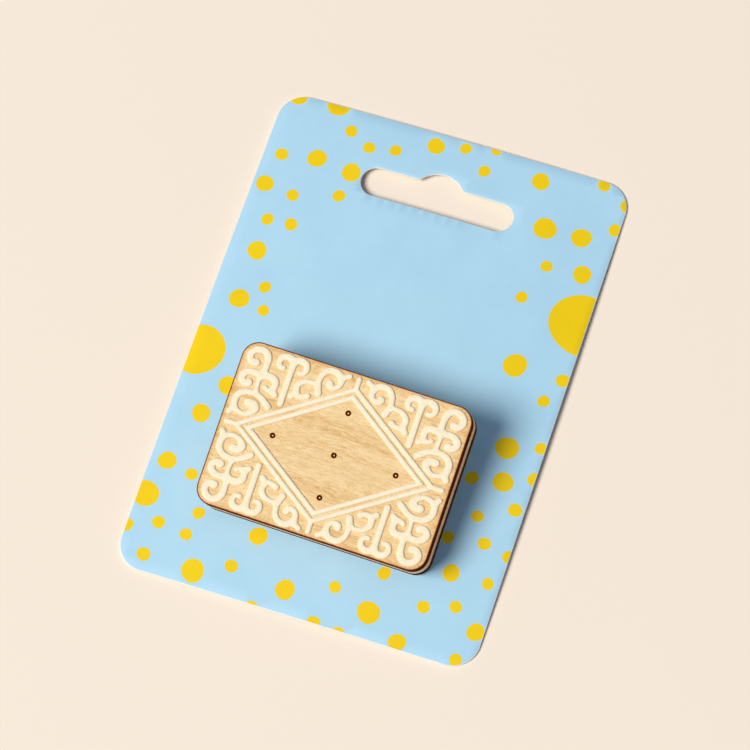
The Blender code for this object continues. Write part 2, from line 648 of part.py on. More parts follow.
def make_barrel(frame):
    """The safety barrel: a necked roller with a needle slot and a thumb tab."""
    pivot = (catch_place(), BAR_HEIGHT_ON_BADGE, -PIN_DROP)
    neck = neck_half_length()
    first, last = (end - catch_place() for end in barrel_ends())
    rim, end_radius = BARREL_COLLAR_RADIUS, BARREL_COLLAR_RADIUS - BARREL_CHAMFER
    profile = [(first, end_radius), (first + BARREL_CHAMFER, rim), (-neck, rim),
               (-neck, BARREL_NECK_RADIUS), (neck, BARREL_NECK_RADIUS),
               (neck, rim), (last - BARREL_CHAMFER, rim), (last, end_radius)]
    shape = shifted(turned(profile, FACE_ON, BARREL_SIDES), pivot)
    barrel = piece("safety_barrel", shape, "steel", frame, pivot)

    tab_root = BARREL_NECK_RADIUS
    tab_length = BARREL_OUTER_COLLAR - 2 * TAB_INSET
    tab_outline = rounded_box(tab_length, TAB_REACH - tab_root, TAB_CORNER,
                              (first + BARREL_OUTER_COLLAR / 2, -(TAB_REACH + tab_root) / 2))
    tab = slab(flat_region([tab_outline]), -TAB_THICKNESS / 2, TAB_THICKNESS / 2)
    combine(barrel, shifted(tab, pivot), "UNION")

    slot_half = NEEDLE_RADIUS + NEEDLE_SLOT_CLEARANCE
    beyond = BARREL_COLLAR_RADIUS + CUT_MARGIN
    slot = arc((0, 0), slot_half, 0, pi) + [(-slot_half, -beyond), (slot_half, -beyond)]
    cut = slab(flat_region([slot]), first - CUT_MARGIN, last + CUT_MARGIN, axes=END_ON)
    combine(barrel, shifted(cut, pivot), "DIFFERENCE")


def main():
    """Build the whole badge on its card."""
    for thing in list(bpy.data.objects):
        bpy.data.objects.remove(thing)
    frame_matrix = badge_matrix()
    frame = bpy.data.objects.new("badge_frame", None)
    bpy.context.scene.collection.objects.link(frame)
    place = frame_matrix.copy()
    place.translation *= MM
    frame.matrix_world = place

    make_card(frame_matrix)
    make_layers(frame)
    make_diamonds(frame)
    make_scrolls(frame)
    make_bar(frame)
    make_rivet(frame)
    make_needle(frame)
    make_barrel(frame)


main()
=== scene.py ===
"""Wooden biscuit badge pinned to its hanging card: surfaces, finishes, light and camera.

Drawing functions work in millimetres and finished meshes are in metres.  The card lies
in the world's own axes.  The badge has axes of its own: origin in the middle of its back
face, X along its width, Y along its height, Z out of its face.
"""

import json
from math import asin, atan2, cos, hypot, pi, radians, sin, sqrt

import bmesh
import bpy
import numpy as np
from mathutils import Matrix, Vector
from mathutils.geometry import delaunay_2d_cdt


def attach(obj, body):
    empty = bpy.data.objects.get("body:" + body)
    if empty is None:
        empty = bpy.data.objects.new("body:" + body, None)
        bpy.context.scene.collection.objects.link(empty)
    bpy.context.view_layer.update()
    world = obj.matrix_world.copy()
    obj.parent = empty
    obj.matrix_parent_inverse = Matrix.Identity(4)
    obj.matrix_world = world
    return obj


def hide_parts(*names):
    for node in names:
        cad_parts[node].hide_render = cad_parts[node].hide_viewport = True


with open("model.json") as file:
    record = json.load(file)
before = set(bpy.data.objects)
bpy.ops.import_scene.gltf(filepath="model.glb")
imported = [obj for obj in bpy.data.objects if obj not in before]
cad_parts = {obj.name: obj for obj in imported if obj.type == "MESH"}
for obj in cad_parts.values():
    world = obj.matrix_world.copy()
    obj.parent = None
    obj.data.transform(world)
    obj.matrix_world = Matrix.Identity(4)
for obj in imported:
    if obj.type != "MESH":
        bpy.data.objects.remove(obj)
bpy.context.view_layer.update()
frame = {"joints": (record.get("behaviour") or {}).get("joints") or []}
MM = 0.001

# ---- card sizes
CARD_WIDTH = 74.0
CARD_LENGTH = 105.0
CARD_THICKNESS = 0.45
CARD_CORNER = 5.6
BOW_ALONG = 1.0
BOW_ACROSS = 0.6
BOW_MIDDLE = 0.9
CARD_GRID = 2.5  # spacing of the corners that follow the bow
CARD_RIM = ((0.03, 0.0), (0.0, 0.04), (0.0, 0.36), (0.03, 0.42), (0.08, 0.45))

HANG_SLOT_LENGTH = 32.0
HANG_SLOT_HEIGHT = 6.2
HANG_SLOT_DROP = 14.1
HANG_BUMP_RADIUS = 5.5
HANG_BUMP_EASE = 1.2
PIN_HOLE_CORNER = 1.2
PIN_HOLE_MARGIN = 0.8

DOT_SEED = 11
DOT_SIZES = ((2.5, 7), (1.9, 20), (1.3, 52))  # radius and how many are tried for
BIG_DOTS = ((36.0, 21.5, 6.6), (-35.0, -6.0, 5.2))
DOT_GAP = 2.3
CLEAR_OVAL = (25.0, 43.0, 3.0)  # half width, half height and middle of the dotless field

# ---- badge sizes
BADGE_WIDTH = 47.3
BADGE_HEIGHT = 33.3
BADGE_CORNER = 3.4
LAYER = 3.0
GLUE_LINE = 0.05
FACE = 3 * LAYER + 2 * GLUE_LINE  # height of the badge's front face
PLAIN_EDGE = 0.08  # rounding of the two lower layers' edges
EASED_EDGE = 0.16  # rounding of the front layer's edges
EASED_BURN = (0.95, 0.9, 0.8, 0.7)  # scorch up the front layer's upper edge

DOCKER_RADIUS = 0.53
DOCKER_EYE_RADIUS = 0.2
DOCKER_DEPTH = 0.35
DOCKER_EYE_DEPTH = 0.1
DOCKER_PLACES = ((0, 0), (13.2, 0), (-13.2, 0), (0, 9.05), (0, -9.05))

# ---- raised print
PRINT_TOP = FACE + 0.38
PRINT_ROOT = FACE - 0.05  # the print's foot, a little below the wood's surface
SHOULDER = 0.3  # width of the print's rounded edge
CONTOURS = (0.02, 0.06, 0.12, 0.2, 0.3)  # depths inside the outline that get corners
OUTLINE_STEP = 0.12
FILLET = 0.5  # reach of the blend where two strokes meet
DIAMOND_LINE = 1.05
DIAMOND_GAP = 0.3
SPUR_WIDTH = 1.05
DRAWN_HALF_WIDTH = 24.6
DRAWN_HALF_HEIGHT = 17.45
DIAMOND_TIPS = (19.65, 13.25)
SPUR_ENDS = (23.1, 16.3)

# Each stroke of the ornament, drawn for the upper right quarter: (x, y, width) along it.
SPIRE_SCROLL = (
    ((7.18, 11.1, 1.52), (7.52, 12.05, 1.38), (7.75, 13.0, 1.25), (7.68, 14.0, 1.22),
     (7.42, 15.05, 1.27), (6.55, 16.05, 1.37), (5.45, 16.32, 1.45), (4.3, 16.05, 1.5),
     (3.45, 15.2, 1.45), (3.4, 14.1, 1.27), (3.75, 13.4, 1.17), (4.5, 12.98, 1.22),
     (5.2, 13.15, 1.5), (5.5, 13.6, 1.65)),
    ((3.5, 15.3, 1.4), (2.8, 15.85, 1.2), (2.05, 16.27, 1.22)),
    ((7.7, 12.5, 1.2), (8.5, 12.75, 1.07), (9.4, 12.75, 1.02), (10.4, 12.5, 1.17),
     (11.3, 11.8, 1.32), (11.65, 11.0, 1.42), (11.55, 10.1, 1.35), (11.7, 9.4, 1.25),
     (12.2, 8.82, 1.35)),
    ((11.5, 9.7, 1.3), (10.9, 9.38, 1.2), (10.3, 9.33, 1.15), (9.6, 9.5, 1.2),
     (9.05, 9.78, 1.4)),
)
STEM_CURLS = (
    ((13.8, 6.7, 1.37), (13.8, 10.0, 1.35), (13.8, 13.0, 1.35), (13.8, 14.6, 1.45),
     (13.8, 15.6, 1.5)),
    ((13.8, 15.6, 1.45), (13.1, 16.1, 1.5), (12.3, 16.22, 1.5), (11.35, 15.88, 1.5),
     (10.9, 15.05, 1.32), (11.05, 14.2, 1.22), (11.55, 13.8, 1.17), (12.1, 13.78, 1.12)),
    ((13.8, 15.6, 1.45), (14.5, 16.1, 1.5), (15.3, 16.22, 1.5), (16.25, 15.88, 1.5),
     (16.7, 15.05, 1.32), (16.55, 14.2, 1.22), (16.05, 13.8, 1.17), (15.5, 13.8, 1.12)),
)
CORNER_SCROLL = (
    ((18.95, 11.3, 1.4), (18.95, 12.5, 1.32), (18.97, 13.6, 1.42), (19.1, 14.6, 1.6),
     (19.65, 15.55, 1.6), (20.7, 16.0, 1.5), (21.85, 15.75, 1.5), (22.65, 14.95, 1.55),
     (22.8, 14.0, 1.55), (22.3, 13.25, 1.5), (21.7, 13.05, 1.6), (21.2, 13.15, 1.7)),
    ((19.0, 11.1, 1.6), (18.1, 11.2, 1.6), (17.1, 11.2, 1.6), (16.3, 10.75, 1.6),
     (16.0, 10.0, 1.5), (16.05, 9.2, 1.4), (15.95, 8.5, 1.3), (15.4, 7.93, 1.27)),
    ((15.95, 8.4, 1.2), (16.6, 8.4, 1.2), (17.3, 8.5, 1.1), (17.85, 8.83, 1.12)),
    ((19.2, 11.1, 1.6), (20.4, 11.1, 1.45), (21.5, 11.1, 1.45), (22.5, 10.65, 1.55),
     (23.05, 9.8, 1.6), (22.85, 9.0, 1.45), (22.15, 8.6, 1.5), (21.4, 8.77, 1.8)),
    ((19.35, 10.8, 1.3), (19.45, 10.0, 1.07), (19.43, 9.0, 0.92), (19.35, 8.1, 0.97),
     (19.2, 7.3, 1.1)),
    ((16.0, 5.2, 1.42), (16.95, 5.9, 1.42), (18.0, 6.62, 1.33), (19.3, 6.98, 1.27),
     (20.3, 7.02, 1.32), (21.2, 6.88, 1.37), (22.1, 6.4, 1.45), (22.75, 5.5, 1.5),
     (22.88, 4.5, 1.5), (22.8, 3.5, 1.4), (22.9, 2.7, 1.3), (23.25, 2.13, 1.32)),
    ((22.6, 3.3, 1.3), (21.9, 2.75, 1.25), (21.2, 2.5, 1.12), (20.4, 2.42, 1.07),
     (19.6, 2.65, 1.17), (18.85, 3.2, 1.42), (18.35, 4.0, 1.7), (18.65, 4.7, 1.75),
     (19.35, 4.93, 1.7), (20.1, 4.88, 1.75)),
)

# ---- brooch bar
BAR_LENGTH = 30.0
BAR_WIDTH = 4.8
BAR_THICKNESS = 0.8
BAR_CORNER = 2.1
BAR_HEIGHT_ON_BADGE = 8.0
BAR_HOLE_RADIUS = 0.9
BAR_HOLE_SPACING = 13.0
PIN_DROP = 5.6
HINGE_PLACE = BAR_LENGTH / 2 - 2.5
CATCH_PLACE = 3.0 - BAR_LENGTH / 2
EAR_THICKNESS = 0.6
EAR_RADIUS = 1.25
EAR_FOOT = 3.4
RIVET_RADIUS = 0.4
RIVET_HEAD_RADIUS = 0.75
RIVET_HEAD_HEIGHT = 0.35
SEAT_CLEARANCE = 0.05
RUNNING_CLEARANCE = 0.08
NEEDLE_RADIUS = 0.4
NEEDLE_POINT_LENGTH = 4.0
NEEDLE_POINT_RADIUS = 0.05
NEEDLE_PAST_CATCH = 1.5
EYE_RADIUS = 0.95
EYE_THICKNESS = 0.8
EYE_SIDE_CLEARANCE = 0.15
CATCH_THICKNESS = 0.8
CATCH_WALL = 0.38
BARREL_NECK_RADIUS = 0.92
BARREL_CLEARANCE = 0.1
BARREL_COLLAR_RADIUS = 1.4
BARREL_INNER_COLLAR = 0.8
BARREL_OUTER_COLLAR = 1.8
NEEDLE_SLOT_CLEARANCE = 0.13
TAB_REACH = 2.9
TAB_THICKNESS = 0.55
TAB_CORNER = 0.5
TAB_INSET = 0.15

# ---- stage and daylight
BACKGROUND = (249, 233, 216)
FLOOR_SIZE = 4.0  # metres
CAMERA_AIM = (-0.23, -0.185, 0.0)
CAMERA_AZIMUTH = 28.65
CAMERA_ELEVATION = 70.36
CAMERA_ROLL = -10.65
CAMERA_DISTANCE = 753.9
CAMERA_LENS = 182.4
LIGHT_FROM = (-0.47, -0.49, 1.0)
LIGHT_DISTANCE = 5.0
LIGHT_SIZE = 2.5
LIGHT_POWER = 256.0
LIGHT_COLOUR = (1.0, 0.975, 0.9)
SKY_COLOUR = (0.6, 0.74, 1.0, 1.0)
SKY_LEVEL = 0.275
DULL_GLOSS = 0.2  # specular level of board, wood and print
CHAR_GLOSS = 0.0


# ---- plane geometry
def arc(centre, radius, start, end, step=radians(5)):
    """Points from the start angle to the end angle, both included."""
    count = max(2, round(abs(end - start) / step) + 1)
    return [(centre[0] + radius * cos(a), centre[1] + radius * sin(a))
            for a in np.linspace(start, end, count)]


def rounded_box(width, height, corner, centre=(0, 0), side_step=None):
    """Anticlockwise outline of a rectangle with round corners, its sides cut in steps."""
    outline = []
    for turn, (side_x, side_y) in enumerate(((1, 1), (-1, 1), (-1, -1), (1, -1))):
        middle = (centre[0] + side_x * (width / 2 - corner),
                  centre[1] + side_y * (height / 2 - corner))
        outline += arc(middle, corner, turn * pi / 2, (turn + 1) * pi / 2)
    return divided(outline, side_step) if side_step else outline


def divided(outline, step):
    """A closed outline whose long runs are cut into pieces no longer than the step."""
    points = []
    for a, b in zip(outline, outline[1:] + outline[:1]):
        count = max(1, int(np.ceil(hypot(b[0] - a[0], b[1] - a[1]) / step)))
        points += [(a[0] + (b[0] - a[0]) * i / count, a[1] + (b[1] - a[1]) * i / count)
                   for i in range(count)]
    return points


def outward(outline):
    """Unit normals of a closed outline that has its material on its left."""
    points = np.array(outline)
    along = np.roll(points, -1, axis=0) - np.roll(points, 1, axis=0)
    along /= np.linalg.norm(along, axis=1)[:, None]
    return np.stack([along[:, 1], -along[:, 0]], axis=1)


def drawn_in(outline, inset):
    """A closed outline moved into its material by an inset."""
    return [tuple(p) for p in np.array(outline) - inset * outward(outline)]


def respaced(outline, step):
    """A closed outline cut into even steps."""
    points = np.array([*outline, outline[0]])
    run = np.concatenate([[0], np.cumsum(np.linalg.norm(np.diff(points, axis=0), axis=1))])
    places = np.linspace(0, run[-1], max(8, round(run[-1] / step)), endpoint=False)
    return np.stack([np.interp(places, run, points[:, axis]) for axis in (0, 1)], axis=1)


def settled(points, level, depth, steps=4, nudge=0.01):
    """Points moved along the slope of a depth until they lie at a level of it."""
    points = np.array(points, float)
    for _ in range(steps):
        here = depth(points)
        slope = np.stack([depth(points + (nudge, 0)) - here,
                          depth(points + (0, nudge)) - here], axis=1) / nudge
        size = np.maximum((slope ** 2).sum(axis=1), 0.25)
        points -= ((here - level) / size)[:, None] * slope
    return points


def signed_area(outline):
    """Area of a closed outline, below zero where it runs clockwise."""
    x, y = np.array(outline).T
    return 0.5 * float(np.sum(x * np.roll(y, -1) - y * np.roll(x, -1)))


def plan(solids, holes=(), inner=(), marks=()):
    """Triangles inside the solid outlines and outside the holes.

    Inner points become corners.  Marks are further outlines whose edges are kept, and the
    third result says for each triangle whether it lies inside a mark.
    """
    outlines = [loop if signed_area(loop) > 0 else loop[::-1] for loop in (*solids, *holes, *marks)]
    points = [Vector(p) for outline in outlines for p in outline]
    points += [Vector(p) for p in inner]
    loops, start = [], 0
    for outline in outlines:
        loops.append(list(range(start, start + len(outline))))
        start += len(outline)
    corners, _, faces, _, _, sources = delaunay_2d_cdt(points, [], loops, 0, 1e-4, True)
    first_hole, first_mark = len(solids), len(solids) + len(holes)
    kept, marked = [], []
    for face, source in zip(faces, sources):
        if any(s < first_hole for s in source) and not any(
                first_hole <= s < first_mark for s in source):
            kept.append(face)
            marked.append(any(s >= first_mark for s in source))
    used = sorted({corner for face in kept for corner in face})
    place = {corner: i for i, corner in enumerate(used)}
    return (np.array([tuple(corners[c]) for c in used]),
            [[place[c] for c in face] for face in kept], marked)


def rim_loops(corners, faces):
    """The closed outlines round a set of triangles, with the triangles on their left."""
    edges = {(face[i - 1], face[i]) for face in faces for i in range(len(face))}
    following = {a: b for a, b in edges if (b, a) not in edges}
    loops = []
    while following:
        start, here = following.popitem()
        loop = [start]
        while here != start:
            loop.append(here)
            here = following.pop(here)
        loops.append([tuple(corners[i]) for i in loop])
    return loops


# ---- surfaces, solids
class Shell:
    """Corners and faces that grow piece by piece; every face carries a finish number."""

    def __init__(self):
        self.corners, self.faces, self.kinds, self.values = [], [], [], []

    def add(self, corners, faces, kinds=0, values=None):
        """Take in corners (n, 3) and faces that count from them, each with its finish."""
        start = sum(len(c) for c in self.corners)
        self.corners.append(np.asarray(corners, float))
        self.faces += [[start + i for i in face] for face in faces]
        self.kinds += list(kinds) if np.ndim(kinds) else [kinds] * len(faces)
        self.values.append(np.zeros(len(corners)) if values is None else np.asarray(values))
        return self

    def carry(self, outline, profile, height=None, kind=0, values=None):
        """A profile of (inset, rise) carried round an outline with its material on the left.

        The rise is added to a height, which may be a function of x and y.
        """
        base, normal = np.array(outline), outward(outline)
        rings = []
        for inset, rise in profile:
            x, y = (base - inset * normal).T
            rings.append(np.stack([x, y, rise + (height(x, y) if height else 0 * x)], axis=1))
        count, faces = len(base), []
        for ring in range(len(profile) - 1):
            for k in range(count):
                a, b = ring * count + k, ring * count + (k + 1) % count
                faces.append([a, b, b + count, a + count])
        repeated = None if values is None else np.repeat(values, count)
        return self.add(np.concatenate(rings), faces, kind, repeated)

    def cap(self, region, height, kinds=0, flip=False, values=None):
        """A plan laid at a height, which may be a function of x and y."""
        corners, faces = region[0], region[1]
        x, y = corners.T
        z = height(x, y) if callable(height) else np.full(len(x), float(height))
        faces = [list(face)[::-1] for face in faces] if flip else faces
        return self.add(np.stack([x, y, z], axis=1), faces, kinds, values)

    def turn(self, profile, axes, centre, sides=48):
        """A profile of (along, radius) turned about the drawn X axis, both ends closed."""
        along, radius = np.array(profile).T
        angle = 2 * pi * np.arange(sides) / sides
        grid = np.stack([np.repeat(along[:, None], sides, axis=1),
                         radius[:, None] * np.cos(angle), radius[:, None] * np.sin(angle)], axis=2)
        corners = grid.reshape(-1, 3) @ np.array(axes).T + np.array(centre)
        faces = [[r * sides + k, r * sides + (k + 1) % sides,
                  (r + 1) * sides + (k + 1) % sides, (r + 1) * sides + k]
                 for r in range(len(along) - 1) for k in range(sides)]
        last = len(corners) - sides
        faces += [list(range(sides - 1, -1, -1)), list(range(last, last + sides))]
        return self.add(corners, faces)

    def plate(self, outline, holes, low, high, axes, centre, round_over):
        """A flat plate with rounded edges, drawn in its own plane and set in place."""
        flat = Shell()
        profile = rounded_edge(high - low, round_over)
        loops = [outline] + [hole[::-1] for hole in holes]
        inner = []
        for loop in loops:
            flat.carry(loop, profile, lambda x, y: low + 0 * x)
            inner.append(drawn_in(loop, profile[0][0]))
        region = plan(inner[:1], inner[1:])
        flat.cap(region, high).cap(region, low, flip=True)
        corners = np.concatenate(flat.corners) @ np.array(axes).T + np.array(centre)
        return self.add(corners, flat.faces)

    def mirrored(self, side_x, side_y):
        """A copy turned over in X, in Y or in both."""
        faces = self.faces if side_x == side_y else [face[::-1] for face in self.faces]
        corners = np.concatenate(self.corners) * (side_x, side_y, 1)
        return Shell().add(corners, faces, self.kinds, np.concatenate(self.values))

    def mesh(self, name, place=None, sharp=35):
        """The finished mesh in metres, its doubled corners joined."""
        corners = np.concatenate(self.corners)
        if place is not None:
            matrix = np.array(place)
            corners = corners @ matrix[:3, :3].T + matrix[:3, 3]
        mesh = bpy.data.meshes.new(name)
        mesh.from_pydata((corners * MM).tolist(), [], self.faces)
        mesh.polygons.foreach_set("material_index", np.array(self.kinds, np.int32))
        scorch = mesh.attributes.new("scorch", "FLOAT", "POINT")
        scorch.data.foreach_set("value", np.concatenate(self.values).astype(np.float32))
        work = bmesh.new()
        work.from_mesh(mesh)
        bmesh.ops.remove_doubles(work, verts=work.verts, dist=2e-7)
        work.to_mesh(mesh)
        work.free()
        mesh.shade_smooth()
        mesh.set_sharp_from_angle(angle=radians(sharp))
        return mesh


def rounded_edge(thickness, radius, steps=4):
    """Side profile of a plate: quarter rounds at its lower and upper edge."""
    turns = [pi / 2 * i / steps for i in range(steps + 1)]
    lower = [(radius * (1 - sin(t)), radius * (1 - cos(t))) for t in turns]
    upper = [(inset, thickness - rise) for inset, rise in reversed(lower)]
    return lower + upper


def linked(name, data):
    """A new object in the scene."""
    thing = bpy.data.objects.new(name, data)
    bpy.context.scene.collection.objects.link(thing)
    return thing


def finish_piece(mesh, finishes, body, node):
    """Object of a mesh in its finishes, riding on a body in place of its CAD node."""
    for finish in finishes:
        mesh.materials.append(finish)
    piece = linked(mesh.name, mesh)
    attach(piece, body)
    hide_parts(node)


# ---- finishes
def linear(red, green, blue):
    """Scene colour of a display colour given from 0 to 255."""
    def one(value):
        value /= 255
        return value / 12.92 if value <= 0.04045 else ((value + 0.055) / 1.055) ** 2.4
    return one(red), one(green), one(blue), 1.0


class Finish:
    """A Principled material in the making, with short calls for the nodes it needs."""

    def __init__(self, name, roughness, metallic=0.0, specular=0.5):
        self.material = bpy.data.materials.new(name)
        self.material.use_nodes = True
        self.tree = self.material.node_tree
        self.shader = self.tree.nodes["Principled BSDF"]
        self.put(roughness, self.shader.inputs["Roughness"])
        self.put(metallic, self.shader.inputs["Metallic"])
        self.put(specular, self.shader.inputs["Specular IOR Level"])

    def node(self, kind):
        """A new shader node."""
        return self.tree.nodes.new("ShaderNode" + kind)

    def put(self, value, socket):
        """Link a socket to another, or write a plain value into it."""
        if isinstance(value, bpy.types.NodeSocket):
            self.tree.links.new(value, socket)
        else:
            socket.default_value = value

    def card_place(self):
        """Place in the world in millimetres."""
        node = self.node("TexCoord")
        return self.vector("MULTIPLY", node.outputs["Object"], (1 / MM,) * 3)

    def badge_place(self):
        """Place in the badge's own axes in millimetres."""
        node = self.node("Mapping")
        inverse = BADGE.inverted()
        self.put(self.card_place(), node.inputs["Vector"])
        self.put(inverse.to_euler(), node.inputs["Rotation"])
        self.put(inverse.translation, node.inputs["Location"])
        return node.outputs["Vector"]

    def vector(self, operation, *values):
        """Vector maths on sockets or plain triples."""
        node = self.node("VectorMath")
        node.operation = operation
        for value, socket in zip(values, node.inputs):
            self.put(value, socket)
        return node.outputs["Vector"]

    def maths(self, operation, *values, clamp=False):
        """Maths on sockets or plain numbers."""
        node = self.node("Math")
        node.operation = operation
        node.use_clamp = clamp
        for value, socket in zip(values, node.inputs):
            self.put(value, socket)
        return node.outputs[0]

    def part(self, place, axis):
        """One coordinate of a place."""
        node = self.node("SeparateXYZ")
        self.put(place, node.inputs[0])
        return node.outputs[axis]

    def noise(self, place, cycles, detail=2.0, rough=0.5, bend=0.0):
        """Noise from 0 to 1 with so many cycles per millimetre along each axis."""
        node = self.node("TexNoise")
        self.put(self.vector("MULTIPLY", place, cycles), node.inputs["Vector"])
        for name, value in (("Scale", 1.0), ("Detail", detail), ("Roughness", rough),
                            ("Distortion", bend)):
            self.put(value, node.inputs[name])
        return node.outputs[0]

    def span(self, value, low, high, to_low, to_high):
        """A value stretched from one range to another and held inside it."""
        node = self.node("MapRange")
        for socket, given in zip(node.inputs, (value, low, high, to_low, to_high)):
            self.put(given, socket)
        return node.outputs[0]

    def scorch(self):
        """How burnt the surface is, kept with the mesh from 0 to 1."""
        node = self.node("Attribute")
        node.attribute_name = "scorch"
        return node.outputs["Fac"]

    def ramp(self, value, *stops):
        """Colours between stops of (position, red, green, blue)."""
        node = self.node("ValToRGB")
        steps = node.color_ramp.elements
        while len(steps) < len(stops):
            steps.new(0.5)
        for step, (position, *colour) in zip(steps, stops):
            step.position = position
            step.color = linear(*colour)
        self.put(value, node.inputs[0])
        return node.outputs[0]

    def mix(self, factor, first, second, blend="MIX"):
        """Two colours mixed by a factor."""
        node = self.node("Mix")
        node.data_type = "RGBA"
        node.blend_type = blend
        for index, value in ((0, factor), (6, first), (7, second)):
            self.put(value, node.inputs[index])
        return node.outputs[2]

    def blend(self, first, share, second):
        """Two values added up: the first with its share, the second with the rest."""
        return self.maths("ADD", self.maths("MULTIPLY", first, share),
                          self.maths("MULTIPLY", second, 1 - share))

    def colour(self, value):
        """The base colour."""
        self.put(value, self.shader.inputs["Base Color"])

    def gloss(self, pattern, low, high):
        """Roughness that follows a noise pattern between two values."""
        self.put(self.span(pattern, 0.3, 0.7, low, high), self.shader.inputs["Roughness"])

    def relief(self, height, depth):
        """Fine relief: a height from 0 to 1 that stands for a depth in millimetres."""
        node = self.node("Bump")
        self.put(height, node.inputs["Height"])
        self.put(depth * MM, node.inputs["Distance"])
        self.put(node.outputs[0], self.shader.inputs["Normal"])
        return self


def card_ink(name, dark, light):
    """Matt ink on smooth board: fine mottling, and the board's tooth under it."""
    ink = Finish(name, 0.55, specular=DULL_GLOSS)
    place = ink.card_place()
    cloud = ink.noise(place, (0.09, 0.09, 0.09), 3.0, 0.6)
    tooth = ink.noise(place, (5.0, 5.0, 5.0), 3.0, 0.6)
    ink.colour(ink.ramp(ink.blend(cloud, 0.6, tooth), (0.3, *dark), (0.7, *light)))
    ink.gloss(tooth, 0.48, 0.62)
    return ink.relief(tooth, 0.012).material


def bare_board(name, dark, light):
    """Uncoated white board: fibres and a dull surface."""
    board = Finish(name, 0.8, specular=DULL_GLOSS)
    place = board.card_place()
    fibre = board.noise(place, (2.2, 6.5, 6.5), 4.0, 0.65, 0.4)
    board.colour(board.ramp(fibre, (0.3, *dark), (0.7, *light)))
    return board.relief(fibre, 0.02).material


def birch_grain(wood, place):
    """Colour and height of birch with its grain along the badge's width."""
    sway = wood.noise(place, (0.03, 0.12, 0.1), 2.0)
    bent = wood.vector("ADD", place, wood.vector(
        "MULTIPLY", wood.vector("SUBTRACT", sway, (0.5, 0.5, 0.5)), (0.0, 7.0, 0.0)))
    bands = wood.noise(bent, (0.022, 0.55, 0.5), 3.0, 0.55)
    fibres = wood.noise(bent, (0.5, 3.4, 3.4), 4.0, 0.7)
    pores = wood.noise(bent, (0.9, 8.0, 8.0), 1.0, 0.4)
    colour = wood.ramp(wood.blend(bands, 0.4, fibres), (0.36, 210, 165, 105), (0.47, 232, 196, 140),
                       (0.55, 241, 209, 157), (0.66, 249, 224, 180))
    fleck = wood.span(pores, 0.6, 0.74, 0.0, 0.45)
    colour = wood.mix(fleck, colour, linear(196, 142, 86))
    height = wood.maths("SUBTRACT", fibres, wood.maths("MULTIPLY", fleck, 0.8))
    return colour, height


def birch_face():
    """Birch face, darkened where the beam passed at its border and in the docker marks."""
    wood = Finish("birch_face", 0.58, specular=DULL_GLOSS)
    place = wood.badge_place()
    colour, height = birch_grain(wood, place)
    ragged = wood.noise(place, (2.4, 2.4, 2.4), 3.0, 0.6)
    burn = wood.maths("ADD", wood.scorch(), wood.span(ragged, 0.3, 0.7, -0.1, 0.1))
    toast = wood.ramp(burn, (0.0, 255, 255, 255), (0.28, 240, 214, 180), (0.55, 165, 100, 55),
                      (0.8, 92, 38, 14), (1.0, 60, 20, 8))
    wood.colour(wood.mix(1.0, colour, toast, "MULTIPLY"))
    wood.gloss(height, 0.5, 0.66)
    return wood.relief(height, 0.03).material


def charred_edge():
    """Plywood edge cut by the beam: browned plies, soot and fine upright cut lines."""
    edge = Finish("charred_edge", 0.7, specular=CHAR_GLOSS)
    place = edge.badge_place()
    lines = edge.noise(place, (4.5, 4.5, 0.25), 3.0, 0.6)
    soot = edge.noise(place, (0.5, 0.5, 0.9), 3.0, 0.6)
    level = edge.maths("FRACT", edge.maths("DIVIDE", edge.part(place, "Z"), LAYER + GLUE_LINE))
    ply = edge.maths("PINGPONG", edge.maths("MULTIPLY", level, 3.0), 1.0)
    seam = edge.span(ply, 0.0, 0.22, 0.35, 0.0)
    tone = edge.maths("SUBTRACT", edge.blend(lines, 0.55, soot),
                      edge.maths("MULTIPLY", seam, 0.4), clamp=True)
    edge.colour(edge.ramp(tone, (0.25, 30, 12, 6), (0.42, 66, 27, 13), (0.55, 98, 47, 24),
                          (0.72, 138, 78, 44)))
    return edge.relief(lines, 0.06).material


def cream_acrylic():
    """Cut edge of the pale filling: cream, with fine upright cut lines."""
    sheet = Finish("cream_acrylic", 0.35, specular=DULL_GLOSS)
    place = sheet.badge_place()
    lines = sheet.noise(place, (3.5, 3.5, 0.12), 2.0, 0.6)
    cloud = sheet.noise(place, (0.25, 0.25, 0.6), 2.0)
    sheet.colour(sheet.ramp(sheet.blend(lines, 0.6, cloud), (0.3, 232, 168, 118),
                            (0.5, 247, 194, 142), (0.7, 252, 214, 168)))
    sheet.gloss(lines, 0.28, 0.45)
    return sheet.relief(lines, 0.04).material


def cream_print():
    """Raised cream print: satin, with the grain showing through it a little."""
    ink = Finish("cream_print", 0.42, specular=DULL_GLOSS)
    place = ink.badge_place()
    grain = ink.noise(place, (0.3, 3.6, 3.6), 3.0, 0.6)
    skin = ink.noise(place, (1.4, 1.4, 1.4), 3.0, 0.5)
    ink.colour(ink.ramp(ink.blend(grain, 0.5, skin), (0.3, 239, 220, 185),
                        (0.5, 245, 230, 199), (0.7, 249, 237, 211)))
    ink.gloss(skin, 0.36, 0.5)
    return ink.relief(skin, 0.03).material


def bright_plate(name, rough_low, rough_high):
    """Nickel plate: tumbled surface with faint wear."""
    metal = Finish(name, rough_low, 1.0)
    place = metal.badge_place()
    wear = metal.noise(place, (0.8, 2.4, 2.4), 4.0, 0.6)
    fine = metal.noise(place, (9.0, 9.0, 9.0), 2.0, 0.5)
    metal.colour(metal.ramp(wear, (0.3, 186, 184, 178), (0.7, 214, 212, 205)))
    metal.gloss(wear, rough_low, rough_high)
    return metal.relief(fine, 0.006).material


# ---- card
def card_lift(x, y):
    """Height of the card's underside: three shallow parabolas added up."""
    across = 1 - (2 * x / CARD_WIDTH) ** 2
    along = 1 - (2 * y / CARD_LENGTH) ** 2
    return BOW_ALONG * along + BOW_ACROSS * across + BOW_MIDDLE * across * along


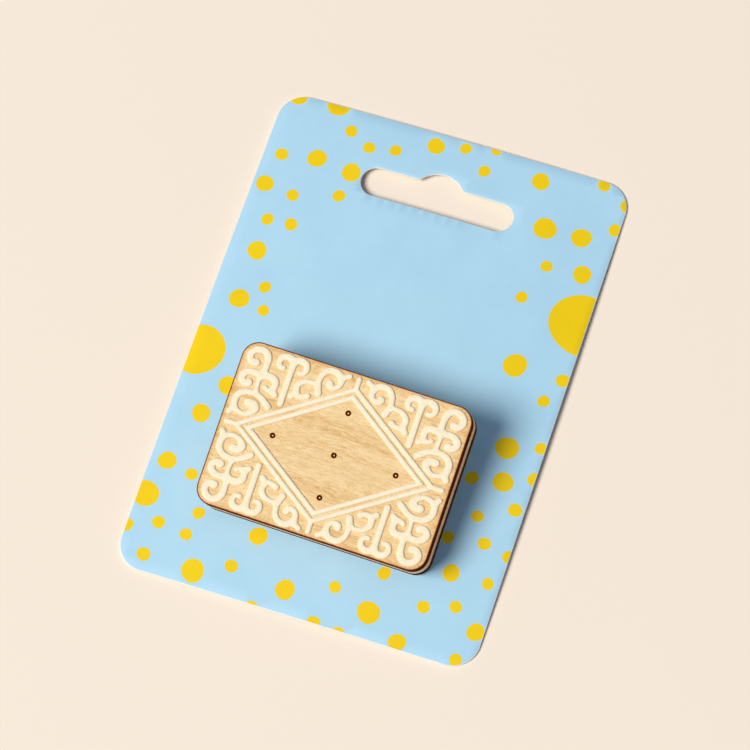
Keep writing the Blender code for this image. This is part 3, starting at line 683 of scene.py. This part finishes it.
def hang_slot():
    """Round-ended slot with a round bump on top, anticlockwise."""
    half_height = HANG_SLOT_HEIGHT / 2
    end = HANG_SLOT_LENGTH / 2 - half_height
    ease_y = half_height + HANG_BUMP_EASE
    reach = HANG_BUMP_RADIUS + HANG_BUMP_EASE
    ease_x = sqrt(reach ** 2 - ease_y ** 2)
    bump = asin(ease_y / reach)
    outline = arc((-end, 0), half_height, pi / 2, 3 * pi / 2)
    outline += arc((end, 0), half_height, -pi / 2, pi / 2)
    outline += arc((ease_x, ease_y), HANG_BUMP_EASE, -pi / 2, -pi + bump)
    outline += arc((0, 0), HANG_BUMP_RADIUS, bump, pi - bump)[1:-1]
    outline += arc((-ease_x, ease_y), HANG_BUMP_EASE, -bump, -pi / 2)
    centre_y = CARD_LENGTH / 2 - HANG_SLOT_DROP
    return divided([(x, y + centre_y) for x, y in outline], CARD_GRID)


def pin_hole(along, length, width):
    """Hole in the card round a metal part that stands at x = along on the bar."""
    axis = BADGE @ Vector((along, BAR_HEIGHT_ON_BADGE, -PIN_DROP))
    up = BADGE.to_3x3() @ Vector((0, 0, 1))
    height = card_lift(axis.x, axis.y) + CARD_THICKNESS / 2 - axis.z
    through = axis + up * (height / up.z)
    return rounded_box(length + 2 * PIN_HOLE_MARGIN, width + 2 * PIN_HOLE_MARGIN,
                       PIN_HOLE_CORNER, (through.x, through.y), CARD_GRID)


def dot_layout():
    """Dots thrown one by one, large ones first, and kept where they touch no other."""
    chance = np.random.default_rng(DOT_SEED)
    half_width, half_height, middle = CLEAR_OVAL
    dots = list(BIG_DOTS)
    for radius, count in DOT_SIZES:
        for _ in range(count * 6):
            x = chance.uniform(-CARD_WIDTH / 2 - 0.5, CARD_WIDTH / 2 + 0.5)
            y = chance.uniform(-CARD_LENGTH / 2 - 0.5, CARD_LENGTH / 2 + 0.5)
            size = radius * chance.uniform(0.9, 1.08)
            far = hypot(x / half_width, (y - middle) / half_height)
            free = all(hypot(x - a, y - b) > size + r + DOT_GAP for a, b, r in dots)
            if free and far > 1.0 and sum(abs(r - radius) < 0.35 for _, _, r in dots) < count:
                dots.append((x, y, size))
    return dots


def hand_drawn_dot(x, y, radius, chance):
    """A circle whose radius wavers by two and three waves a turn."""
    turn = np.linspace(0, 2 * pi, 40, endpoint=False)
    two, three = chance.uniform(0, 2 * pi, 2)
    reach = radius * (1 + 0.035 * np.cos(2 * turn + two) + 0.02 * np.cos(3 * turn + three))
    return [(x + r * cos(a), y + r * sin(a)) for r, a in zip(reach, turn)]


def make_card():
    """The bowed printed card, with white cut edges and a white back."""
    outline = rounded_box(CARD_WIDTH, CARD_LENGTH, CARD_CORNER, side_step=CARD_GRID)
    ears = 2 * (EAR_THICKNESS + EYE_SIDE_CLEARANCE + RIVET_HEAD_HEIGHT) + EYE_THICKNESS
    neck = CATCH_THICKNESS / 2 + BARREL_CLEARANCE
    first = CATCH_PLACE - neck - BARREL_OUTER_COLLAR
    last = CATCH_PLACE + neck + BARREL_INNER_COLLAR
    holes = [hang_slot(), pin_hole(HINGE_PLACE, 2 * EAR_RADIUS, ears),
             pin_hole((first + last) / 2, last - first, 2 * BARREL_COLLAR_RADIUS)]
    card = Shell()
    upper, lower = [], []
    for loop in [outline] + [hole[::-1] for hole in holes]:
        card.carry(loop, CARD_RIM, card_lift, kind=2)
        upper.append(drawn_in(loop, CARD_RIM[-1][0]))
        lower.append(drawn_in(loop, CARD_RIM[0][0]))
    grid = [(x, y) for x in np.arange(-CARD_WIDTH / 2 + CARD_GRID, CARD_WIDTH / 2, CARD_GRID)
            for y in np.arange(-CARD_LENGTH / 2 + CARD_GRID, CARD_LENGTH / 2, CARD_GRID)]
    chance = np.random.default_rng(DOT_SEED)
    dots = [hand_drawn_dot(*dot, chance) for dot in dot_layout()]
    face = plan(upper[:1], upper[1:], grid, dots)
    card.cap(face, lambda x, y: card_lift(x, y) + CARD_THICKNESS, np.array(face[2], int))
    card.cap(plan(lower[:1], lower[1:], grid), card_lift, 3, flip=True)
    finishes = [card_ink("blue_ink", (172, 213, 236), (181, 221, 242)),
                card_ink("yellow_ink", (240, 201, 6), (247, 211, 18)),
                bare_board("card_core", (232, 232, 228), (252, 252, 250)),
                bare_board("card_back", (226, 225, 220), (243, 242, 238))]
    finish_piece(card.mesh("printed_card"), finishes, "badge", "backing_card")


# ---- badge
def badge_axes():
    """The badge's axes in millimetres, worked out from its two joints."""
    joints = {joint["name"]: joint for joint in frame["joints"]}
    across = Vector(joints["barrel_turn"]["axis"])
    up = -Vector(joints["needle_hinge"]["axis"])
    turn = Matrix((across, up, across.cross(up))).transposed()
    pivot = Vector(joints["needle_hinge"]["pos_m"]) / MM
    origin = pivot - turn @ Vector((HINGE_PLACE, BAR_HEIGHT_ON_BADGE, -PIN_DROP))
    return Matrix.Translation(origin) @ turn.to_4x4()


def drawn_scale():
    """Real size of a drawn unit of the ornament, across and up."""
    return BADGE_WIDTH / 2 / DRAWN_HALF_WIDTH, BADGE_HEIGHT / 2 / DRAWN_HALF_HEIGHT


def on_face(point):
    """A drawn point of the ornament, fitted to the badge's own size."""
    across, up = drawn_scale()
    return point[0] * across, point[1] * up


def box_loop(inset):
    """The badge's outline drawn in by an inset."""
    return rounded_box(BADGE_WIDTH - 2 * inset, BADGE_HEIGHT - 2 * inset, BADGE_CORNER - inset,
                       side_step=1.5)


def make_plain_layer(name, low, finishes, node):
    """A flat layer of the sandwich with barely eased edges; its flat faces come second."""
    layer = Shell()
    profile = [(inset, low + rise) for inset, rise in rounded_edge(LAYER, PLAIN_EDGE, 3)]
    layer.carry(box_loop(0), profile)
    region = plan([box_loop(profile[0][0])])
    layer.cap(region, low + LAYER, 1).cap(region, low, 1, flip=True)
    finish_piece(layer.mesh(name, BADGE), finishes, "badge", node)


def make_front_layer(edge, face):
    """The front biscuit: rounded upper edge, scorched border, burnt docker rings."""
    layer = Shell()
    low = FACE - LAYER
    profile = [(inset, low + rise) for inset, rise in rounded_edge(LAYER, EASED_EDGE)]
    split = len(profile) - len(EASED_BURN)
    layer.carry(box_loop(0), profile[:split + 1], values=[1.0] * (split + 1))
    layer.carry(box_loop(0), profile[split:], kind=1, values=EASED_BURN)
    layer.cap(plan([box_loop(EASED_EDGE)]), low, 1, flip=True)

    fade = {EASED_EDGE: 0.8, 0.21: 0.5, 0.3: 0.22, 0.6: 0.13, 1.3: 0.0}
    marks = [box_loop(inset) for inset in list(fade)[1:]]
    dents = {0.14: 0.12, 0.2: 0.75, 0.29: 0.9, 0.38: 0.95, 0.47: 0.9, 0.53: 0.7, 0.6: 0.2, 0.8: 0.0}
    places = [on_face(place) for place in DOCKER_PLACES]
    for place in places:
        marks += [arc(place, radius, 0, 2 * pi, radians(12))[:-1] for radius in dents]
    region = plan([box_loop(EASED_EDGE)], (), places, marks)
    x, y = region[0].T
    values = np.interp(border_depth(x, y), list(fade), list(fade.values()))
    away = np.min([np.hypot(x - a, y - b) for a, b in places], axis=0)
    burn = np.interp(away, [0.0, *dents], [0.1, *dents.values()])
    dip = np.clip((away - DOCKER_EYE_RADIUS) / (DOCKER_RADIUS - DOCKER_EYE_RADIUS), 0, 1)
    sunk = DOCKER_DEPTH * np.sin(pi * dip) ** 0.8 + DOCKER_EYE_DEPTH * (away < DOCKER_EYE_RADIUS)
    layer.cap(region, lambda x, y: FACE - sunk, 1, values=np.maximum(values, burn))
    finish_piece(layer.mesh("front_biscuit", BADGE, 50), [edge, face], "badge",
                 "front_biscuit_layer")


def border_depth(x, y):
    """Distance of points inside the badge's outline."""
    qx = np.abs(x) - (BADGE_WIDTH / 2 - BADGE_CORNER)
    qy = np.abs(y) - (BADGE_HEIGHT / 2 - BADGE_CORNER)
    outside = np.hypot(np.maximum(qx, 0), np.maximum(qy, 0))
    return BADGE_CORNER - outside - np.minimum(np.maximum(qx, qy), 0)


# ---- raised print
def stroke_path(points, spacing=0.12):
    """Centres and half widths along a pen stroke, on a Catmull-Rom curve."""
    points = [np.array((*on_face((x, y)), width * sum(drawn_scale()) / 2)) for x, y, width in points]
    ends = [2 * points[0] - points[1]] + points + [2 * points[-1] - points[-2]]
    path = []
    for a, b, c, d in zip(ends, ends[1:], ends[2:], ends[3:]):
        count = max(2, round(np.linalg.norm((c - b)[:2]) / spacing))
        t = np.linspace(0, 1, count, endpoint=False)[:, None]
        path.append(0.5 * (2 * b + (c - a) * t + (2 * a - 5 * b + 4 * c - d) * t * t
                           + (3 * b - a - 3 * c + d) * t ** 3))
    path = np.concatenate(path + [points[-1][None]])
    return path[:, :2], path[:, 2] / 2


def stroke_depth(points, path):
    """How far inside one stroke each point lies: half width less distance."""
    centres, half = path
    away = np.linalg.norm(points[:, None] - centres[None], axis=2)
    return (half[None] - away).max(axis=1)


def ink_depth(points, paths):
    """Depth inside any of some strokes, with a fillet where two of them meet."""
    points = np.asarray(points, float)
    depth = stroke_depth(points, paths[0])
    for path in paths[1:]:
        other = stroke_depth(points, path)
        near = np.maximum(FILLET - np.abs(depth - other), 0)
        depth = np.maximum(depth, other) + near ** 2 / (4 * FILLET)
    return depth


def stroke_outline(path):
    """Outline of a stroke without the points that a tight bend folds into it."""
    centres, half = path
    along = np.gradient(centres, axis=0)
    along /= np.linalg.norm(along, axis=1)[:, None]
    left = np.stack([-along[:, 1], along[:, 0]], axis=1) * half[:, None]
    caps = []
    for end, way in ((-1, 1), (0, -1)):
        middle = atan2(way * along[end][1], way * along[end][0])
        caps.append(np.array(arc(centres[end], half[end], middle - pi / 2, middle + pi / 2,
                                 radians(15))[1:-1]))
    points = np.concatenate([centres - left, caps[0], (centres + left)[::-1], caps[1]])
    return [tuple(p) for p in points[stroke_depth(points, path) < 0.03]]


def blended_outline(solids, depth):
    """Outlines round the union of some shapes, moved to where the depth is nought."""
    corners, faces, _ = plan(solids)
    loops = []
    for loop in rim_loops(corners, faces):
        for _ in range(2):
            loop = settled(respaced(loop, OUTLINE_STEP), 0.0, depth)
        loops.append(loop)
    return loops


def depth_rows(loops, levels, depth):
    """Rows of points beside some outlines, one row for each level of the depth."""
    rows = []
    for loop in loops:
        row = loop
        for level in levels:
            row = settled(row, level, depth)
            rows.append(row[np.abs(depth(row) - level) < 0.004])
    return rows


def raised(loops, rows, middle, depth):
    """Print that rises from its outlines in a quarter round and is flat on top."""
    solids = [[tuple(p) for p in loop] for loop in loops if signed_area(loop) > 0]
    holes = [[tuple(p) for p in loop] for loop in loops if signed_area(loop) <= 0]
    region = plan(solids, holes, [tuple(p) for row in (*rows, middle) for p in row])

    def height(share):
        """Quarter of an ellipse over the shoulder's width."""
        share = np.clip(share / SHOULDER, 0, 1)
        return FACE + (PRINT_TOP - FACE) * np.sqrt(1 - (1 - share) ** 2)

    ink = Shell()
    ink.add(np.column_stack([region[0], height(depth(region[0]))]), region[1])
    ink.cap(plan(solids, holes), PRINT_ROOT, flip=True)
    for loop in (*solids, *holes):
        top = height(depth(np.array(loop)))
        ring = list(range(len(loop)))
        corners = [(x, y, PRINT_ROOT) for x, y in loop] + [(*p, z) for p, z in zip(loop, top)]
        ink.add(corners, [[k, j, j + len(ring), k + len(ring)]
                          for k, j in zip(ring, ring[1:] + ring[:1])])
    return ink


def diamond(offset):
    """Diamond at a distance outside, or inside if negative, the gap between the lines."""
    half_width, half_height, inradius = diamond_size()
    grow = 1 + offset / inradius
    return [(half_width * grow, 0), (0, half_height * grow),
            (-half_width * grow, 0), (0, -half_height * grow)]


def diamond_size():
    """The diamond's half width, half height and distance from its middle to its sides."""
    half_width, half_height = on_face(DIAMOND_TIPS)
    return half_width, half_height, half_width * half_height / hypot(half_width, half_height)


def line_depth(points, side):
    """Depth inside the outer diamond line, or with side -1 the inner one."""
    half_width, half_height, inradius = diamond_size()
    points = np.abs(points)
    share = points[:, 0] / half_width + points[:, 1] / half_height - 1
    middle = side * (DIAMOND_GAP + DIAMOND_LINE) / 2
    return DIAMOND_LINE / 2 - np.abs(share * inradius - middle)


def spur_paths():
    """The four spurs, from the outer line's corners to the badge's border."""
    tips = diamond((DIAMOND_GAP + DIAMOND_LINE) / 2)
    ends = [on_face(end) for end in ((SPUR_ENDS[0], 0), (0, SPUR_ENDS[1]))]
    ends += [(-x, -y) for x, y in ends]
    paths = []
    for tip, end in zip(tips, ends):
        centres = np.linspace(tip, end, 16)
        paths.append((centres, np.full(len(centres), SPUR_WIDTH / 2)))
    return paths


def outer_depth(points):
    """Depth inside the outer diamond line or a spur, whichever is larger."""
    spurs = [stroke_depth(np.asarray(points, float), path) for path in spur_paths()]
    return np.max([line_depth(points, 1), *spurs], axis=0)


def make_diamonds(finish):
    """The two lines of the diamond, with the four spurs on the outer one."""
    near, far = DIAMOND_GAP / 2, DIAMOND_GAP / 2 + DIAMOND_LINE
    spurs = [stroke_outline(path) for path in spur_paths()]
    lines = {
        "inner_diamond": ([diamond(-near)], [diamond(-far)], lambda p: line_depth(p, -1),
                          "diamond_inner_line"),
        "outer_diamond": ([diamond(far)] + spurs, [diamond(near)], outer_depth,
                          "diamond_outer_line"),
    }
    for name, (solids, holes, depth, node) in lines.items():
        corners, faces, _ = plan(solids, holes)
        loops = [divided(loop, 0.3) for loop in rim_loops(corners, faces)]
        rows = depth_rows([np.array(loop) for loop in loops], CONTOURS, depth)
        line = raised(loops, rows, [], depth)
        finish_piece(line.mesh(name, BADGE, 60), [finish], "badge", node)


def make_scrolls(finish):
    """Each of the three scroll motifs in all four quarters of the face."""
    quarters = {"upper_right": (1, 1), "upper_left": (-1, 1),
                "lower_left": (-1, -1), "lower_right": (1, -1)}
    for motif, strokes in (("spire_scroll", SPIRE_SCROLL), ("stem_curls", STEM_CURLS),
                           ("corner_scroll", CORNER_SCROLL)):
        paths = [stroke_path(points) for points in strokes]

        def depth(points):
            """Depth inside this motif's strokes."""
            return ink_depth(points, paths)

        loops = blended_outline([stroke_outline(path) for path in paths], depth)
        rows = depth_rows(loops, CONTOURS, depth)
        middle = np.concatenate([path[0][2:-2:2] for path in paths])
        shape = raised(loops, rows, middle[depth(middle) > SHOULDER + 0.04], depth)
        for quarter, sides in quarters.items():
            mesh = shape.mirrored(*sides).mesh(f"cream_{motif}_{quarter}", BADGE, 60)
            finish_piece(mesh, [finish], "badge", f"{motif}_{quarter}")


# ---- brooch bar
FACE_ON = ((1, 0, 0), (0, 1, 0), (0, 0, 1))
SIDE_ON = ((1, 0, 0), (0, 0, -1), (0, 1, 0))
END_ON = ((0, 0, 1), (1, 0, 0), (0, 1, 0))
ACROSS = ((0, 1, 0), (1, 0, 0), (0, 0, -1))
HINGE = (HINGE_PLACE, BAR_HEIGHT_ON_BADGE, -PIN_DROP)
CATCH = (CATCH_PLACE, BAR_HEIGHT_ON_BADGE, -PIN_DROP)
BAR_UNDER = -GLUE_LINE - BAR_THICKNESS


def make_bar(metal):
    """The pressed strip with two hinge ears and the open catch ring."""
    bar = Shell()
    outline = rounded_box(BAR_LENGTH, BAR_WIDTH, BAR_CORNER, side_step=2.0)
    holes = [arc((side * BAR_HOLE_SPACING / 2, 0), BAR_HOLE_RADIUS, 0, 2 * pi, radians(10))[:-1]
             for side in (-1, 1)]
    bar.plate(outline, holes, BAR_UNDER, -GLUE_LINE, FACE_ON, (0, BAR_HEIGHT_ON_BADGE, 0), 0.15)

    foot = PIN_DROP + BAR_UNDER + BAR_THICKNESS / 2
    ear = [(EAR_FOOT / 2, foot), (-EAR_FOOT / 2, foot), (-EAR_FOOT / 2, foot - BAR_THICKNESS / 2)]
    ear += arc((0, 0), EAR_RADIUS, pi, 2 * pi)
    ear += [(EAR_FOOT / 2, foot - BAR_THICKNESS / 2)]
    hole = arc((0, 0), RIVET_RADIUS + SEAT_CLEARANCE, 0, 2 * pi, radians(15))[:-1]
    inner = EYE_THICKNESS / 2 + EYE_SIDE_CLEARANCE
    for side in (-1, 1):
        low, high = sorted((-side * inner, -side * (inner + EAR_THICKNESS)))
        bar.plate(divided(ear, 0.4), [hole], low, high, SIDE_ON, HINGE, 0.08)

    bore = BARREL_NECK_RADIUS + BARREL_CLEARANCE
    outer = bore + CATCH_WALL
    mouth = NEEDLE_RADIUS + NEEDLE_SLOT_CLEARANCE
    wide, narrow = asin(mouth / bore), asin(mouth / outer)
    ring = [(outer, foot), (-outer, foot)]
    ring += arc((0, 0), outer, pi, 3 * pi / 2 - narrow)
    ring += arc((0, 0), bore, 3 * pi / 2 - wide, wide - pi / 2)
    ring += arc((0, 0), outer, 3 * pi / 2 + narrow, 2 * pi)
    half = CATCH_THICKNESS / 2
    bar.plate(divided(ring, 0.4), [], -half, half, END_ON, CATCH, 0.06)
    finish_piece(bar.mesh("brooch_strip", BADGE), [metal], "badge", "brooch_bar")


def make_rivet(metal):
    """The headed rivet through both ears: a round head at each end."""
    face = EYE_THICKNESS / 2 + EYE_SIDE_CLEARANCE + EAR_THICKNESS + SEAT_CLEARANCE
    dome = [(face + RIVET_HEAD_HEIGHT * sin(a), RIVET_HEAD_RADIUS * cos(a))
            for a in np.linspace(0, radians(84), 8)]
    head = [(face, RIVET_RADIUS)] + dome
    profile = [(-along, radius) for along, radius in reversed(head)] + head
    rivet = Shell().turn(profile, ACROSS, HINGE)
    finish_piece(rivet.mesh("domed_rivet", BADGE), [metal], "badge", "hinge_rivet")


def make_needle(metal):
    """The needle: a rolled eye and a wire drawn out to a point."""
    needle = Shell()
    bore = RIVET_RADIUS + RUNNING_CLEARANCE
    half = EYE_THICKNESS / 2
    needle.plate(arc((0, 0), EYE_RADIUS, 0, 2 * pi)[:-1],
                 [arc((0, 0), bore, 0, 2 * pi, radians(10))[:-1]], -half, half, SIDE_ON, HINGE, 0.12)
    tip = CATCH_PLACE - NEEDLE_PAST_CATCH - HINGE_PLACE
    taper = [(tip + NEEDLE_POINT_LENGTH * t,
              NEEDLE_POINT_RADIUS + (NEEDLE_RADIUS - NEEDLE_POINT_RADIUS) * t ** 0.8)
             for t in np.linspace(0, 1, 12)]
    needle.turn([(tip - 0.03, 0.01)] + taper + [(-(bore + EYE_RADIUS) / 2, NEEDLE_RADIUS)],
                FACE_ON, HINGE)
    finish_piece(needle.mesh("pointed_needle", BADGE), [metal], "pin", "needle")


def make_barrel(metal):
    """The safety barrel: two rounded collars, a neck, a needle slot and a thumb tab."""
    neck = CATCH_THICKNESS / 2 + BARREL_CLEARANCE
    first, last = -neck - BARREL_OUTER_COLLAR, neck + BARREL_INNER_COLLAR
    rim, ease = BARREL_COLLAR_RADIUS, 0.22
    rounds = [(ease * (1 - sin(t)), rim - ease * (1 - cos(t))) for t in np.linspace(0, pi / 2, 6)]
    left = [(first + inset, radius) for inset, radius in rounds[::-1]]
    right = [(last - inset, radius) for inset, radius in rounds]
    profile = left + [(-neck - 0.04, rim), (-neck, rim - 0.04), (-neck, BARREL_NECK_RADIUS),
                      (neck, BARREL_NECK_RADIUS), (neck, rim - 0.04), (neck + 0.04, rim)] + right
    roller = Shell().turn(profile, FACE_ON, CATCH, 64)
    middle = (first + BARREL_OUTER_COLLAR / 2, -(TAB_REACH + BARREL_NECK_RADIUS) / 2)
    outline = rounded_box(BARREL_OUTER_COLLAR - 2 * TAB_INSET, TAB_REACH - BARREL_NECK_RADIUS,
                          TAB_CORNER, middle)
    tab = Shell().plate(outline, [], -TAB_THICKNESS / 2, TAB_THICKNESS / 2, FACE_ON, CATCH, 0.12)
    slot_half = NEEDLE_RADIUS + NEEDLE_SLOT_CLEARANCE
    beyond = BARREL_COLLAR_RADIUS + 1
    slot = arc((0, 0), slot_half, 0, pi) + [(-slot_half, -beyond), (slot_half, -beyond)]
    cutter = Shell().plate(slot, [], first - 1, last + 1, END_ON, CATCH, 0.01)
    mesh = joined(roller.mesh("roller", BADGE), [(tab.mesh("tab", BADGE), "UNION"),
                                                 (cutter.mesh("cutter", BADGE), "DIFFERENCE")])
    mesh.name = "catch_roller"
    finish_piece(mesh, [metal], "lock", "safety_barrel")


def joined(base, steps):
    """A mesh after Boolean steps with other meshes, worked out once."""
    body = linked("joined_body", base)
    helpers = []
    for mesh, operation in steps:
        helper = linked("joined_helper", mesh)
        modifier = body.modifiers.new(operation, "BOOLEAN")
        modifier.operation = operation
        modifier.object = helper
        helpers.append(helper)
    evaluated = body.evaluated_get(bpy.context.evaluated_depsgraph_get())
    result = bpy.data.meshes.new_from_object(evaluated)
    for thing in (body, *helpers):
        bpy.data.objects.remove(thing)
    result.materials.clear()
    result.shade_smooth()
    result.set_sharp_from_angle(angle=radians(35))
    return result


# ---- stage and light
def make_stage():
    """A wide pale floor, which the part stands on."""
    half = FLOOR_SIZE / 2
    mesh = bpy.data.meshes.new("floor")
    mesh.from_pydata([(-half, -half, 0), (half, -half, 0), (half, half, 0), (-half, half, 0)],
                     [], [(0, 1, 2, 3)])
    floor = linked("floor", mesh)
    surface = Finish("floor", 0.9, specular=0.0)
    surface.put(linear(*BACKGROUND), surface.shader.inputs["Base Color"])
    mesh.materials.append(surface.material)


def make_light():
    """One soft lamp from the lower left, and an even sky that metal sees as the floor."""
    lamp = bpy.data.lights.new("window", "AREA")
    lamp.shape = "DISK"
    lamp.size = LIGHT_SIZE
    lamp.energy = LIGHT_POWER
    lamp.color = LIGHT_COLOUR
    window = linked("window", lamp)
    direction = Vector(LIGHT_FROM).normalized()
    window.location = direction * LIGHT_DISTANCE
    window.rotation_mode = "QUATERNION"
    window.rotation_quaternion = direction.to_track_quat("Z", "Y")

    world = bpy.data.worlds.new("sky")
    bpy.context.scene.world = world
    world.use_nodes = True
    nodes, links = world.node_tree.nodes, world.node_tree.links
    sky = nodes["Background"]
    sky.inputs["Color"].default_value = SKY_COLOUR
    sky.inputs["Strength"].default_value = SKY_LEVEL
    seen = nodes.new("ShaderNodeBackground")
    seen.inputs["Color"].default_value = linear(*BACKGROUND)
    rays = nodes.new("ShaderNodeLightPath")
    either = nodes.new("ShaderNodeMath")
    either.operation = "MAXIMUM"
    links.new(rays.outputs["Is Camera Ray"], either.inputs[0])
    links.new(rays.outputs["Is Glossy Ray"], either.inputs[1])
    pick = nodes.new("ShaderNodeMixShader")
    links.new(either.outputs[0], pick.inputs[0])
    links.new(sky.outputs[0], pick.inputs[1])
    links.new(seen.outputs[0], pick.inputs[2])
    links.new(pick.outputs[0], nodes["World Output"].inputs["Surface"])


def make_camera():
    """The photograph's view, from above and to the right, rolled a little."""
    camera = linked("camera", bpy.data.cameras.new("camera"))
    azimuth, elevation = radians(CAMERA_AZIMUTH), radians(CAMERA_ELEVATION)
    back = Vector((sin(azimuth) * cos(elevation), -cos(azimuth) * cos(elevation), sin(elevation)))
    right = Vector((cos(azimuth), sin(azimuth), 0))
    up = back.cross(right)
    roll = radians(CAMERA_ROLL)
    right, up = cos(roll) * right + sin(roll) * up, cos(roll) * up - sin(roll) * right
    turn = Matrix((right, up, back)).transposed().to_4x4()
    place = Vector(CAMERA_AIM) * MM + back * CAMERA_DISTANCE * MM
    camera.matrix_world = Matrix.Translation(place) @ turn
    camera.data.sensor_width = 36.0
    camera.data.lens = CAMERA_LENS
    camera.data.clip_start = 0.01
    bpy.context.scene.camera = camera


BADGE = badge_axes()
make_camera()
make_light()
make_stage()
make_card()
EDGE, BIRCH, ACRYLIC, CREAM = charred_edge(), birch_face(), cream_acrylic(), cream_print()
make_plain_layer("back_biscuit", 0.0, [EDGE, BIRCH], "back_biscuit_layer")
make_plain_layer("cream_filling", LAYER + GLUE_LINE, [ACRYLIC, ACRYLIC],
                 "cream_filling_layer")
make_front_layer(EDGE, BIRCH)
make_diamonds(CREAM)
make_scrolls(CREAM)
PLATE, WIRE = bright_plate("nickel_plate", 0.24, 0.38), bright_plate("bright_wire", 0.14, 0.24)
make_bar(PLATE)
make_rivet(WIRE)
make_needle(WIRE)
make_barrel(PLATE)

bpy.context.scene.view_settings.view_transform = "Standard"
